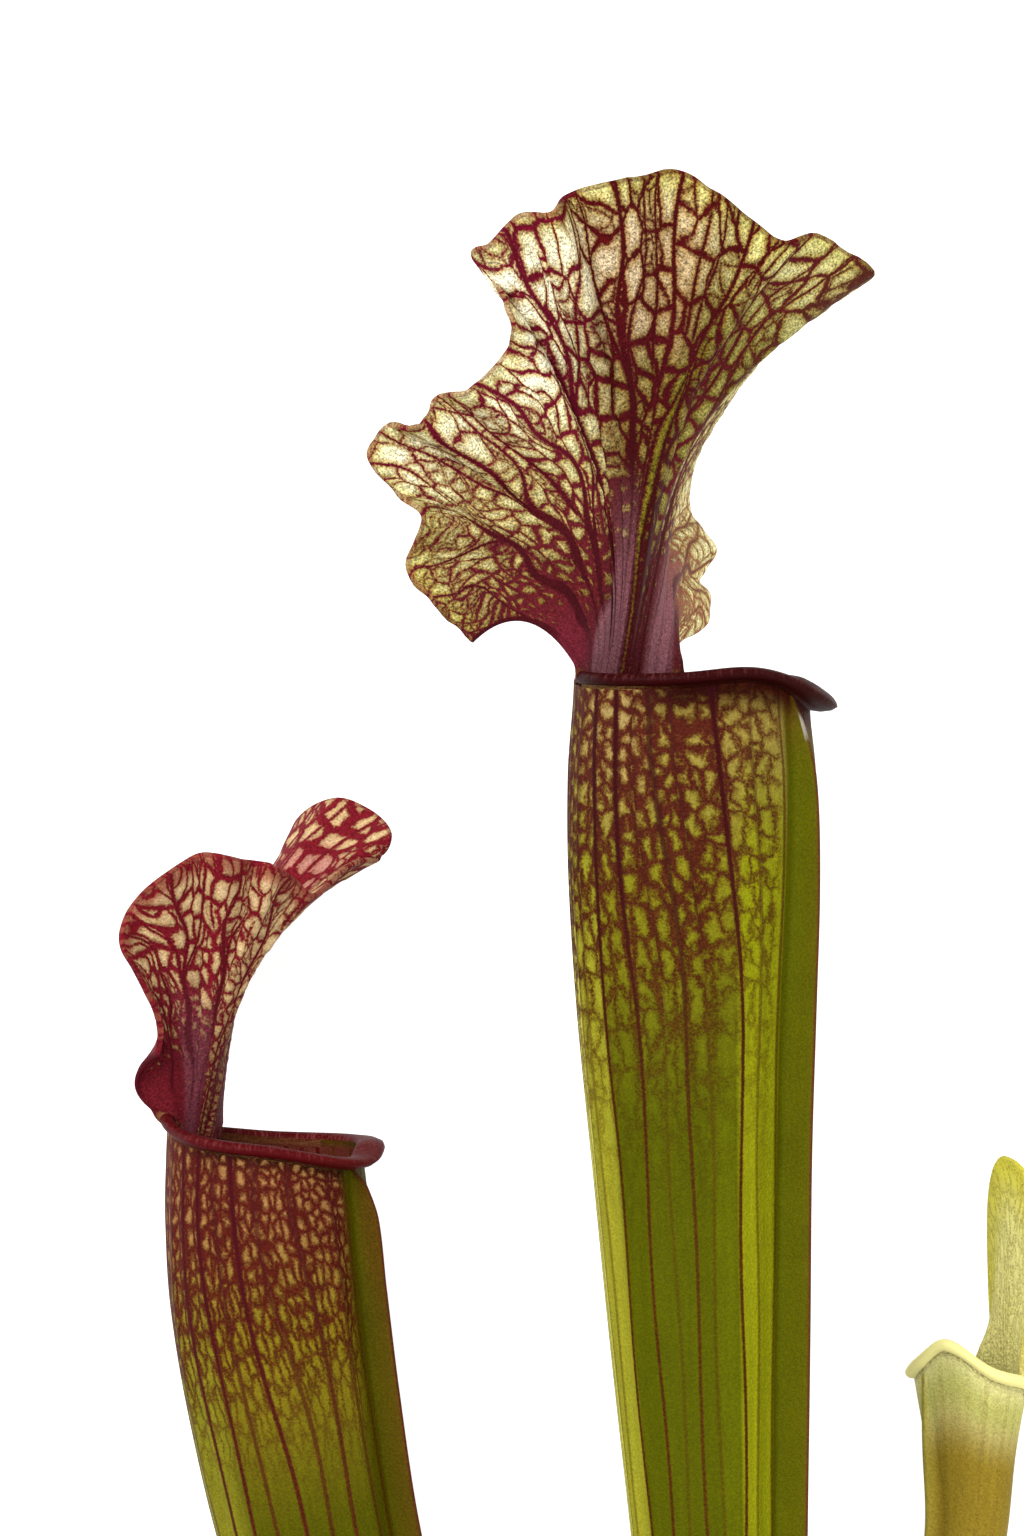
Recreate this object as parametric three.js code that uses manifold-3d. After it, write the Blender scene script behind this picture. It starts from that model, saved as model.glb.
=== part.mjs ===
// A trumpet pitcher plant, lifted bare-rooted and laid on its side.
// Three hollow pitchers grow from one rhizome with its roots.
// Units are millimetres. X runs across the plant, Y from the roots to the hoods,
// Z up from the surface that it lies on. The origin is the flat spot under the rhizome.

import * as THREE from "three";
import { mergeVertices } from "three/addons/utils/BufferGeometryUtils.js";
import Module from "manifold-3d";

const wasm = await Module();
wasm.setup();

// Driving dimensions
const TUBE_WALL = 0.9;
const HOOD_THICKNESS = 0.9;
const LIP_THICKNESS = 1.9;
const LIP_STEPS = 4;
const SEAT_GAP = 0.3;
const WING_ROOT = 1.0;
const WING_TIP = 0.42;
const RIB_HEIGHT = 0.3;
const RIBBED_RADIUS = 9;
const HOOD_ROWS = 11;
const THROAT_AXIS = [0.2, 1, 0.18];
const NECK_CREST_WIDTH = 0.13;
const NECK_CREST_SHARE = 0.22;
const NECK_FACE_END = 0.75;
const NECK_BACK_START = 0.4;
const NECK_DEPTH_IN_TUBE = 9;
const WAVE_POWER = 4;
const RIM_STATIONS = 2.5;
const FLOOR_DEPTH = 30;

const RHIZOME_LENGTH = 56;
const RHIZOME_RADIUS = 8.4;
const RHIZOME_AXIS_HEIGHT = 8;
const RHIZOME_SHIFT = -2;
const RHIZOME_RINGS = 9;
const RHIZOME_SLICES = 22;
const RHIZOME_SIDES = 18;
const RHIZOME_BEND = 3;
const RING_HEIGHT = 0.7;
const KNOB_HEIGHT = 0.5;
const ROOT_COUNT = 13;
const ROOT_SIDES = 6;
const ROOT_STEPS = 11;
const ROOT_SEED = 7;
const ROOT_LENGTH = 42;
const ROOT_LENGTH_SPREAD = 34;
const ROOT_RADIUS = 0.95;
const ROOT_RADIUS_SPREAD = 0.45;
const ROOT_FAN_DEGREES = 84;
const ROOT_THINNING = 0.75;

// Each pitcher's stations run from the crown to the mouth:
// [height Y, X, Z, tube radius, wing width]
// Its margin runs round the hood from the side nearest the viewer to the far side:
// [share of the neck, across, above the mouth, towards the viewer, wave of the edge]
// Its lip gives the height of the rim against the angle from the front, in degrees.

const TALL = {
  name: "pitcher_tall",
  colour: 0x7d8a26,
  frontAngle: 57,
  frontSide: 1,
  neckHalfAngle: 54,
  spoutFlare: 4.4,
  spoutAngle: -18,
  sideFlare: 1.5,
  spoutWidth: 34,
  lipAngles: [232, 246, 262, 280, 298, 314, 328, 339, 348, 12, 21, 32, 46, 62, 80, 98, 114],
  rise: 0.36,
  lean: 0.14,
  pull: 0.4,
  pullRise: 0.4,
  throatClimb: 22,
  gather: 0.36,
  nearFlare: 4,
  nearLift: 4,
  farPinch: 3,
  bow: 6,
  bowShare: -0.22,
  bowWidth: 0.18,
  throat: [-8.5, 14, -6.5],
  keelHeight: 4.7,
  innerFloor: 6,
  stations: [
    [4, 0.5, 9.6, 6.4, 0],
    [18, 0.5, 12.5, 5.5, 0.6],
    [38, 0.4, 20, 5.7, 2.2],
    [62, 0.1, 30, 6.7, 3.6],
    [90, -0.6, 39.4, 8.4, 4.4],
    [118, -1.5, 45, 10.0, 4.7],
    [146, -2.7, 47.2, 11.7, 4.8],
    [174, -3.9, 47.5, 13.6, 4.7],
    [200, -4.9, 47.5, 15.2, 4.6],
    [224, -5.6, 47.4, 16.9, 4.5],
    [243, -5.7, 47.2, 18.0, 4.1],
    [258, -5.6, 47, 18.2, 3.2],
    [267, -5.6, 47, 17.6, 1.6],
    [271.5, -5.6, 47, 17.4, 0],
  ],
  lip: [
    [-126, 0.9],
    [-90, 0.7],
    [-62, 0.2],
    [-42, -1.8],
    [-26, -3.2],
    [-8, -2.0],
    [10, 0.4],
    [30, 1.5],
    [62, 0.7],
    [92, 0.5],
    [126, 0.9],
  ],
  margin: [
    [1.0, -32.4, 6.3, 12, 0],
    [0.94, -38.6, 12.4, 14, 2.2],
    [0.89, -41.8, 17.6, 15, -1.8],
    [0.84, -39.4, 24.3, 15, 2.4],
    [0.795, -43.2, 27.8, 14.5, -1.8],
    [0.75, -47.3, 33.2, 14, 2.2],
    [0.705, -44.7, 37.6, 14, -1.6],
    [0.665, -40.1, 37.6, 14, 2.4],
    [0.625, -37.4, 41.8, 14, -1.8],
    [0.58, -32.4, 43.1, 13.5, 2.4],
    [0.54, -27.8, 48.0, 13, -1.6],
    [0.5, -26.4, 52.6, 12.5, 2.4],
    [0.45, -29.0, 59.0, 12, -1.4],
    [0.41, -32.1, 62.8, 12, -0.6],
    [0.37, -29.4, 64.4, 12, 2.6],
    [0.33, -25.4, 68.4, 12, -1.6],
    [0.29, -20.7, 68.6, 12, 2.6],
    [0.25, -18.4, 71.4, 11, -1.8],
    [0.2, -13.2, 72.8, 10, 2.4],
    [0.12, -2.9, 75.1, 6, -0.8],
    [0.06, 3.4, 72.0, 3, 1.6],
    [0.0, 8.9, 67.8, 0, -0.8],
    [-0.06, 13.6, 64.9, -4, 0.8],
    [-0.12, 18.4, 66.2, -9, 1.2],
    [-0.19, 26.9, 61.2, -17, -2],
    [-0.25, 22.6, 58.8, -23, -1.2],
    [-0.32, 17.3, 55.2, -29, 1.6],
    [-0.39, 13.2, 51.6, -34, -1.4],
    [-0.46, 8.8, 46.8, -38, 1.8],
    [-0.53, 5.6, 42.2, -41, -1.4],
    [-0.61, 1.0, 34.6, -44, 1.6],
    [-0.68, -0.2, 26.4, -46, -1.2],
    [-0.75, 1.9, 21.6, -47, 1.4],
    [-0.8, 3.7, 18.6, -47.5, 0.2],
    [-0.86, 0.9, 15.0, -47, 1.6],
    [-0.92, 3.0, 10.8, -46, 0],
    [-1.0, -2.0, 6.3, -41, 1],
  ],
};

const LEFT = {
  name: "pitcher_left",
  colour: 0x8a5a2c,
  frontAngle: 63,
  frontSide: 1,
  neckHalfAngle: 34,
  spoutFlare: 4.0,
  spoutAngle: 0,
  sideFlare: 2.0,
  spoutWidth: 40,
  lipAngles: [224, 240, 258, 276, 296, 316, 333, 347, 13, 27, 44, 64, 84, 104, 122, 136],
  rise: 0.36,
  lean: 0.16,
  pull: 0.4,
  pullRise: 0.36,
  throatClimb: 14,
  gather: 0.3,
  nearFlare: 9,
  nearLift: 0,
  farPinch: 0,
  bow: 7,
  bowShare: -0.24,
  bowWidth: 0.26,
  throat: [-7, 12, -3],
  keelHeight: 3.6,
  innerFloor: 5,
  stations: [
    [4, -14, 9.2, 5.3, 0],
    [20, -15.5, 11, 4.8, 0.8],
    [42, -23.5, 15, 5.8, 2.2],
    [66, -34, 20, 7.8, 3.2],
    [92, -45, 25, 10.2, 3.6],
    [118, -54, 29, 12.4, 3.7],
    [146.2, -61.4, 31, 14.0, 3.6],
    [166, -65.2, 31.6, 14.9, 3.6],
    [181, -67.3, 31.8, 15.3, 3.4],
    [192, -68.2, 31.8, 15.1, 3.2],
    [199, -68.5, 31.8, 14.7, 1.8],
    [202.5, -68.6, 31.8, 14.4, 0],
  ],
  lip: [
    [-146, 2.6],
    [-110, 1.6],
    [-60, 1.0],
    [-20, 0.3],
    [0, -1.8],
    [20, -1.8],
    [57, 0],
    [90, 1.2],
    [120, 2.8],
    [146, 5.0],
  ],
  margin: [
    [1.0, -15.7, 14.4, 9, 0],
    [0.93, -15.4, 19.0, 7, 0.8],
    [0.86, -18.0, 25.0, 11, -0.8],
    [0.79, -20.9, 30.8, 13, 1],
    [0.71, -19.6, 35.8, 12, -0.8],
    [0.63, -15.9, 39.7, 14, 1.2],
    [0.54, -10.0, 43.5, 12, -1],
    [0.46, -6.2, 43.6, 13, 1.2],
    [0.38, -1.6, 42.6, 10, -1],
    [0.29, 1.4, 42.0, 9, 1],
    [0.2, 4.6, 39.8, 5, -0.8],
    [0.1, 7.0, 37.6, 2, 0.6],
    [0.0, 9.4, 39.4, -3, -0.4],
    [-0.1, 13.2, 42.6, -7, 0.6],
    [-0.18, 16.6, 43.2, -10, -0.8],
    [-0.26, 18.4, 46.6, -12, 0.8],
    [-0.34, 15.8, 49.7, -15, -0.8],
    [-0.42, 10.6, 51.8, -18, 0.8],
    [-0.52, 5.2, 49.3, -21, -1],
    [-0.62, 2.2, 43.6, -27, 1],
    [-0.71, -2.0, 37.0, -29, -1],
    [-0.8, -5.0, 29.5, -33, 1],
    [-0.88, -8.0, 22.0, -30, -1],
    [-0.94, -9.2, 16.0, -28, 0.8],
    [-1.0, -9.6, 10.2, -21, 0],
  ],
};

const RIGHT = {
  name: "pitcher_right",
  colour: 0xb9a944,
  frontAngle: 60,
  frontSide: -1,
  neckHalfAngle: 56,
  spoutFlare: 1.6,
  spoutAngle: 0,
  sideFlare: 1.0,
  spoutWidth: 45,
  lipAngles: [242, 266, 292, 316, 338, 22, 44, 68, 94, 118],
  rise: 0.36,
  lean: 0.1,
  pull: 0.35,
  pullRise: 0.2,
  throatClimb: 8,
  gather: 0.2,
  nearFlare: 0,
  nearLift: 0,
  farPinch: 0,
  bow: 0,
  bowShare: 0,
  bowWidth: 0.2,
  throat: [6.4, 9, -2],
  keelHeight: 1.6,
  innerFloor: 5,
  stations: [
    [4, 12.6, 8.4, 4.0, 0],
    [20, 13.6, 8.6, 3.3, 0.4],
    [50, 19, 8.8, 3.4, 1.2],
    [85, 26.6, 9.6, 3.9, 1.8],
    [118, 32.8, 11.4, 4.7, 2.0],
    [146, 36.2, 12.9, 5.7, 2.0],
    [158, 36.4, 13.2, 6.8, 1.6],
    [168.4, 36.5, 13.6, 8.6, 0],
  ],
  lip: [
    [-124, -0.6],
    [-80, 1.0],
    [-32, 5.2],
    [0, 2.4],
    [26, 0.6],
    [60, 1.2],
    [90, 2.0],
    [124, 0.4],
  ],
  margin: [
    [1.0, 3.4, 6.6, -10.5, 0.5],
    [0.74, 3.2, 14.1, -13.6, -0.5],
    [0.5, 3, 21.8, -11.5, 0.5],
    [0.28, 3.1, 27.3, -7, -0.5],
    [0.1, 3.8, 31.2, -4.5, 0.5],
    [0.0, 5, 32.4, -2, -0.5],
    [-0.12, 7.4, 30.8, 1.5, 0.5],
    [-0.3, 9.2, 26.5, 5, -0.5],
    [-0.52, 10.2, 20.6, 7, 0.5],
    [-0.76, 9.8, 13.6, 8.5, -0.5],
    [-1.0, 9, 7.1, 7, 0.5],
  ],
};

// Curves

const clamp01 = (value) => Math.min(1, Math.max(0, value));
const smooth = (value) => value * value * (3 - 2 * value);
const toRadians = THREE.MathUtils.degToRad;

// Values between the rows of a table, on a smooth curve through them; column 0 is the key.
function sampleTable(rows, key) {
  const rising = rows[1][0] > rows[0][0];
  let i = 0;
  while (i < rows.length - 2 && (rising ? key > rows[i + 1][0] : key < rows[i + 1][0])) {
    i += 1;
  }
  const before = rows[Math.max(i - 1, 0)];
  const start = rows[i];
  const end = rows[i + 1];
  const after = rows[Math.min(i + 2, rows.length - 1)];
  const span = end[0] - start[0];
  const q = (key - start[0]) / span;
  const values = [];
  for (let k = 1; k < start.length; k += 1) {
    const slopeStart = ((end[k] - before[k]) / (end[0] - before[0])) * span;
    const slopeEnd = ((after[k] - start[k]) / (after[0] - start[0])) * span;
    const rise = end[k] - start[k];
    const bend = slopeStart + slopeEnd - 2 * rise;
    values.push(start[k] + q * (slopeStart + q * (3 * rise - 2 * slopeStart - slopeEnd + q * bend)));
  }
  return values;
}

// Centre, radius and directions of a pitcher's tube at a station, which may be a fraction.
function tubeFrame(spec, station) {
  const last = spec.stations.length - 1;
  const at = (s) => {
    const i = Math.min(Math.floor(s), last - 1);
    const key = THREE.MathUtils.lerp(spec.stations[i][0], spec.stations[i + 1][0], s - i);
    const [x, z, radius, wing] = sampleTable(spec.stations, key);
    return { centre: new THREE.Vector3(x, key, z), radius, wing };
  };
  const here = at(station);
  const ahead = at(Math.min(station + 0.05, last));
  const behind = at(Math.max(station - 0.05, 0));
  const along = ahead.centre.clone().sub(behind.centre).normalize();
  const angle = toRadians(spec.frontAngle);
  const front = new THREE.Vector3(spec.frontSide * Math.sin(angle), 0, Math.cos(angle));
  front.addScaledVector(along, -front.dot(along)).normalize();
  const side = new THREE.Vector3().crossVectors(front, along);
  return { ...here, along, front, side };
}

function mouthFrame(spec) {
  return tubeFrame(spec, spec.stations.length - 1);
}

// A point at a given angle from the front and distance from the tube's centre.
function ringPoint(frame, angle, distance) {
  return frame.centre
    .clone()
    .addScaledVector(frame.front, distance * Math.cos(angle))
    .addScaledVector(frame.side, distance * Math.sin(angle));
}

const neckAngle = (spec, share) => Math.PI - share * toRadians(spec.neckHalfAngle);

function rimHeight(spec, angle) {
  const degrees = THREE.MathUtils.radToDeg(angle);
  return sampleTable(spec.lip, degrees > 180 ? degrees - 360 : degrees)[0];
}

// Lip

// Points of the rolled lip at an angle, from the outer wall round the roll to the inner wall.
function lipProfile(spec, angle) {
  const frame = mouthFrame(spec);
  const degrees = THREE.MathUtils.radToDeg(angle > Math.PI ? angle - 2 * Math.PI : angle);
  const spout = Math.exp(-(((degrees - spec.spoutAngle) / spec.spoutWidth) ** 2));
  const neckFade = 1 - smooth(clamp01((Math.abs(degrees) - 100) / 26)) * 0.45;
  const flare = (spec.sideFlare + (spec.spoutFlare - spec.sideFlare) * spout) * neckFade;
  const halfWidth = (flare + TUBE_WALL) / 2;
  const first = -Math.acos((TUBE_WALL - flare) / 2 / halfWidth);
  const points = [];
  for (let k = 0; k <= LIP_STEPS + 1; k += 1) {
    const turn = THREE.MathUtils.lerp(first, Math.PI, k / (LIP_STEPS + 1));
    const out = flare / 2 + halfWidth * Math.cos(turn);
    const up = rimHeight(spec, angle) + (LIP_THICKNESS / 2) * Math.sin(turn);
    const distance = frame.radius - TUBE_WALL / 2 + out;
    points.push(ringPoint(frame, angle, distance).addScaledVector(frame.along, up));
  }
  return points;
}

// Hood

// The middle of the hood's blade: share runs across the neck from 1 to -1, reach from rim to margin.
function bladePoint(spec, share, reach) {
  const frame = mouthFrame(spec);
  const angle = neckAngle(spec, share);
  const spread = Math.abs(share);
  const edge = rimHeight(spec, angle) * spread * spread;
  const rim = ringPoint(frame, angle, frame.radius - TUBE_WALL / 2).addScaledVector(frame.along, edge);
  const [across, above, near, wave] = sampleTable(spec.margin, share);
  const margin = frame.centre.clone().add(new THREE.Vector3(across, above, near));
  const climb = spec.throatClimb * (1 - spread);
  const throat = frame.centre.clone().add(new THREE.Vector3(...spec.throat));
  throat.add(new THREE.Vector3(...THROAT_AXIS).multiplyScalar(climb));
  const rise = spec.rise * margin.distanceTo(rim);
  const column = rim.clone().addScaledVector(frame.along, rise);
  column.addScaledVector(frame.front, rise * spec.lean);
  const gathered = spec.gather * (1 - spread ** 4);
  column.x += (throat.x - column.x) * gathered;
  column.z += (throat.z - column.z) * gathered;
  const nearEdge = Math.max(share, 0) ** 8;
  const farEdge = Math.max(-share, 0) ** 8;
  column.x -= spec.nearFlare * nearEdge + spec.farPinch * farEdge;
  const fan = margin.clone().lerp(throat, spec.pull + spec.pullRise * (1 - spread * spread));
  const bow = spec.bow * Math.exp(-(((share - spec.bowShare) / spec.bowWidth) ** 2));
  fan.x -= bow + 0.6 * spec.nearFlare * nearEdge;
  fan.y += bow / 2 + spec.nearLift * nearEdge;
  const point = new THREE.CubicBezierCurve3(rim, column, fan, margin).getPoint(reach);
  point.z += wave * reach ** WAVE_POWER;
  return point;
}

// The blade's normal, towards the mouth.
function bladeNormal(spec, share, reach) {
  const step = 0.01;
  const across = bladePoint(spec, Math.min(share + step, 1), reach);
  across.sub(bladePoint(spec, Math.max(share - step, -1), reach));
  const outward = bladePoint(spec, share, Math.min(reach + step, 1));
  outward.sub(bladePoint(spec, share, Math.max(reach - step, 0)));
  return outward.cross(across).normalize();
}

// How far the neck's face and its midrib stand in from the round of the tube.
function keelOffset(spec, share, reach) {
  const crest = Math.max(0, 1 - Math.abs(share) / NECK_CREST_WIDTH);
  const profile = THREE.MathUtils.lerp(1 - share * share, crest, NECK_CREST_SHARE);
  return spec.keelHeight * profile * (1 - smooth(clamp01(reach / NECK_FACE_END)));
}

function hoodFaces(spec, share, reach) {
  const middle = bladePoint(spec, share, reach);
  const normal = bladeNormal(spec, share, reach);
  const keel = keelOffset(spec, share, reach);
  const folded = smooth(clamp01(reach / NECK_BACK_START));
  const back = middle.clone().addScaledVector(normal, keel * folded - HOOD_THICKNESS / 2);
  const face = middle.clone().addScaledVector(normal, keel + HOOD_THICKNESS / 2);
  return { back, face };
}

// Mesh building

class Skin {
  constructor() {
    this.points = [];
    this.triangles = [];
  }

  add(point) {
    this.points.push(point);
    return this.points.length - 1;
  }

  // Faces between neighbouring rows of vertex numbers.
  sheet(rows, reversed = false, closed = false) {
    for (let r = 0; r + 1 < rows.length; r += 1) {
      const count = rows[r].length;
      for (let c = 0; c < (closed ? count : count - 1); c += 1) {
        const next = (c + 1) % count;
        this.quad(rows[r][c], rows[r][next], rows[r + 1][next], rows[r + 1][c], reversed);
      }
    }
  }

  quad(a, b, c, d, reversed) {
    if (reversed) {
      this.triangles.push([a, c, b], [a, d, c]);
    } else {
      this.triangles.push([a, b, c], [a, c, d]);
    }
  }

  // A fan that closes a ring at its middle.
  cap(ring, reversed) {
    const middle = new THREE.Vector3();
    ring.forEach((index) => middle.addScaledVector(this.points[index], 1 / ring.length));
    const centre = this.add(middle);
    ring.forEach((index, c) => {
      const next = ring[(c + 1) % ring.length];
      this.triangles.push(reversed ? [centre, next, index] : [centre, index, next]);
    });
  }

  solid() {
    const used = this.triangles.filter(([a, b, c]) => a !== b && b !== c && c !== a);
    const vertProperties = new Float32Array(this.points.flatMap((p) => p.toArray()));
    const triVerts = new Uint32Array(used.flat());
    return new wasm.Manifold(new wasm.Mesh({ numProp: 3, vertProperties, triVerts }));
  }
}

function solidOf(geometry) {
  const bare = geometry.clone();
  bare.deleteAttribute("normal");
  bare.deleteAttribute("uv");
  const merged = mergeVertices(bare, 1e-5);
  return new wasm.Manifold(
    new wasm.Mesh({
      numProp: 3,
      vertProperties: new Float32Array(merged.attributes.position.array),
      triVerts: new Uint32Array(merged.index.array),
    }),
  );
}

function meshOf(solid, name, colour, roughness) {
  const { vertProperties, triVerts } = solid.getMesh();
  const geometry = new THREE.BufferGeometry();
  geometry.setAttribute("position", new THREE.BufferAttribute(new Float32Array(vertProperties), 3));
  geometry.setIndex(new THREE.BufferAttribute(new Uint32Array(triVerts), 1));
  geometry.computeVertexNormals();
  const material = new THREE.MeshStandardMaterial({ color: colour, roughness, metalness: 0 });
  const mesh = new THREE.Mesh(geometry, material);
  mesh.name = name;
  return mesh;
}

// Pitchers

// The columns round the tube: the neck's, in the hood's order, then the lip's with the wing's.
function tubeColumns(spec) {
  const neck = spec.margin.map(([share]) => ({ share, angle: neckAngle(spec, share) }));
  const lip = spec.lipAngles.map((degrees, i) => ({ angle: toRadians(degrees), rib: i % 2 }));
  const front = lip.findIndex((column) => column.angle < Math.PI);
  const wing = [
    { angle: 0, wing: -WING_ROOT, tip: 0 },
    { angle: 0, wing: -WING_TIP, tip: 1 },
    { angle: 0, wing: WING_TIP, tip: 1 },
    { angle: 0, wing: WING_ROOT, tip: 0 },
  ];
  lip.splice(front, 0, ...wing);
  return { neck, lip, all: [...neck, ...lip] };
}

function columnAngle(column, radius) {
  return column.wing === undefined ? column.angle : Math.asin(column.wing / radius);
}

function outerPoint(frame, column) {
  const radius = frame.radius;
  const ribbed = frame.radius > RIBBED_RADIUS && column.rib ? RIB_HEIGHT : 0;
  const point = ringPoint(frame, columnAngle(column, radius), radius + ribbed);
  return column.tip ? point.addScaledVector(frame.front, frame.wing) : point;
}

function innerPoint(spec, frame, column, depth) {
  const radius = frame.radius - TUBE_WALL;
  const point = ringPoint(frame, columnAngle(column, radius), radius);
  if (column.share !== undefined) {
    const fade = Math.exp(-depth / NECK_DEPTH_IN_TUBE);
    point.addScaledVector(frame.front, keelOffset(spec, column.share, 0) * fade);
  }
  return point;
}

// Rows of the outer wall from the base, or of the inner wall from the bottom of the hollow.
// Near the mouth they rise and fall with the rim.
function wallRows(spec, skin, columns, inner) {
  const last = spec.stations.length - 1;
  const mouth = mouthFrame(spec).centre;
  const rows = [];
  for (let s = inner ? spec.innerFloor : 0; s < last; s += 1) {
    const frame = tubeFrame(spec, s);
    const depth = frame.centre.distanceTo(mouth);
    const follow = smooth(clamp01((s - last + RIM_STATIONS) / RIM_STATIONS));
    const row = columns.all.map((column) => {
      const spread = column.share ?? 1;
      const rim = rimHeight(spec, columnAngle(column, frame.radius)) * spread * spread;
      const point = inner ? innerPoint(spec, frame, column, depth) : outerPoint(frame, column);
      return skin.add(point.addScaledVector(frame.along, rim * follow));
    });
    rows.push(row);
  }
  return rows;
}

// The rounded edge of the hood at one place, from the back of the blade to its face.
function edgeProfile(spec, share, reach) {
  const { back, face } = hoodFaces(spec, share, reach);
  const middle = back.clone().lerp(face, 0.5);
  const inside = bladePoint(spec, share * 0.97, Math.min(reach, 1) - (reach === 1 ? 0.03 : 0));
  const outward = bladePoint(spec, share, reach).sub(inside).normalize();
  const radius = back.distanceTo(face) / 2;
  const points = [];
  for (let k = 1; k <= LIP_STEPS; k += 1) {
    const turn = (Math.PI * k) / (LIP_STEPS + 1);
    const point = middle.clone().addScaledVector(outward, radius * Math.sin(turn));
    point.addScaledVector(back.clone().sub(middle), Math.cos(turn));
    points.push(point);
  }
  return [back, ...points, face];
}

function pitcherSkin(spec) {
  const skin = new Skin();
  const columns = tubeColumns(spec);
  const neckCount = columns.neck.length;

  // The blade's two faces, reach by reach.
  const backRows = [];
  const faceRows = [];
  for (let r = 0; r <= HOOD_ROWS; r += 1) {
    const faces = columns.neck.map(({ share }) => hoodFaces(spec, share, r / HOOD_ROWS));
    backRows.push(faces.map(({ back }) => skin.add(back)));
    faceRows.push(faces.map(({ face }) => skin.add(face)));
  }

  // The lip's roll, which runs into the hood's lower edges on both sides.
  const rolls = columns.lip.map((column) =>
    lipProfile(spec, columnAngle(column, mouthFrame(spec).radius)).map((point) => skin.add(point)),
  );
  const cornerRoll = (column) => {
    const points = lipProfile(spec, columns.neck[column].angle);
    skin.points[backRows[0][column]] = points[0];
    skin.points[faceRows[0][column]] = points.at(-1);
    const middle = points.slice(1, -1).map((point) => skin.add(point));
    return [backRows[0][column], ...middle, faceRows[0][column]];
  };
  const nearCorner = cornerRoll(0);
  const farCorner = cornerRoll(neckCount - 1);
  skin.sheet([farCorner, ...rolls, nearCorner]);

  // The hood's edge: up the near side, round the margin and down the far side.
  const edge = (column, row) => {
    const points = edgeProfile(spec, columns.neck[column].share, row / HOOD_ROWS);
    const middle = points.slice(1, -1).map((point) => skin.add(point));
    return [backRows[row][column], ...middle, faceRows[row][column]];
  };
  const edges = [nearCorner];
  for (let r = 1; r <= HOOD_ROWS; r += 1) {
    edges.push(edge(0, r));
  }
  for (let c = 1; c < neckCount; c += 1) {
    edges.push(edge(c, HOOD_ROWS));
  }
  for (let r = HOOD_ROWS - 1; r > 0; r -= 1) {
    edges.push(edge(neckCount - 1, r));
  }
  edges.push(farCorner);
  skin.sheet(edges);
  skin.sheet(backRows, true);
  skin.sheet(faceRows);

  // The tube's walls, closed at the base and at the bottom of the hollow.
  const outer = wallRows(spec, skin, columns, false);
  const inner = wallRows(spec, skin, columns, true);
  outer.push([...backRows[0], ...rolls.map((roll) => roll[0])]);
  inner.push([...faceRows[0], ...rolls.map((roll) => roll.at(-1))]);
  skin.sheet(outer, true, true);
  skin.sheet(inner, false, true);
  skin.cap(outer[0], false);
  skin.cap(inner[0], true);
  return skin;
}

// Rhizome and roots

// A ringed, slightly bent stock along X; grown is how far its surface is pushed out.
function rhizomeSolid(grown) {
  const skin = new Skin();
  const rings = [];
  for (let i = 0; i <= RHIZOME_SLICES; i += 1) {
    const along = i / RHIZOME_SLICES;
    const bulge = Math.sqrt(Math.sin(Math.PI * (0.04 + 0.92 * along)));
    const ring = RING_HEIGHT * Math.sin(2 * Math.PI * RHIZOME_RINGS * along);
    const x = RHIZOME_SHIFT + (along - 0.5) * (RHIZOME_LENGTH + 2 * grown);
    const bend = RHIZOME_BEND * (1 - Math.cos(2.4 * (along - 0.5)));
    const row = [];
    for (let j = 0; j < RHIZOME_SIDES; j += 1) {
      const turn = (2 * Math.PI * j) / RHIZOME_SIDES;
      const knob = KNOB_HEIGHT * Math.sin(3 * turn + 9 * along);
      const radius = (RHIZOME_RADIUS + ring + knob) * bulge + grown;
      const y = radius * Math.cos(turn) - bend;
      const z = RHIZOME_AXIS_HEIGHT + radius * Math.sin(turn);
      row.push(skin.add(new THREE.Vector3(x, y, z)));
    }
    rings.push(row);
  }
  skin.sheet(rings, false, true);
  skin.cap(rings[0], true);
  skin.cap(rings.at(-1), false);
  return skin.solid();
}

// The same list of draws on every run.
function seededDraws(seed) {
  let state = seed;
  return () => {
    state = (state * 48271) % 2147483647;
    return state / 2147483647;
  };
}

// One root: out of the stock, down to the surface and along it, thinning to its tip.
function rootSolid(start, heading, length, radius, sway) {
  const skin = new Skin();
  const rings = [];
  for (let i = 0; i <= ROOT_STEPS; i += 1) {
    const along = i / ROOT_STEPS;
    const turn = heading + sway * Math.sin(5.5 * along);
    const r = radius * (1 - ROOT_THINNING * along);
    const drop = smooth(clamp01(along / 0.3));
    const x = start.x + length * along * Math.cos(turn);
    const y = start.y + length * along * Math.sin(turn);
    const z = THREE.MathUtils.lerp(start.z, 0.9 * r, drop);
    const centre = new THREE.Vector3(x, y, z);
    const across = new THREE.Vector3(-Math.sin(turn), Math.cos(turn), 0);
    const up = new THREE.Vector3(0, 0, 1);
    const row = [];
    for (let j = 0; j < ROOT_SIDES; j += 1) {
      const angle = (2 * Math.PI * j) / ROOT_SIDES;
      const point = centre.clone().addScaledVector(across, r * Math.cos(angle));
      row.push(skin.add(point.addScaledVector(up, r * Math.sin(angle))));
    }
    rings.push(row);
  }
  skin.sheet(rings, false, true);
  skin.cap(rings[0], true);
  skin.cap(rings.at(-1), false);
  return skin.solid();
}

function floorSolid() {
  const box = new THREE.BoxGeometry(600, 900, FLOOR_DEPTH);
  box.translate(0, 100, -FLOOR_DEPTH / 2);
  return solidOf(box);
}

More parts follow.
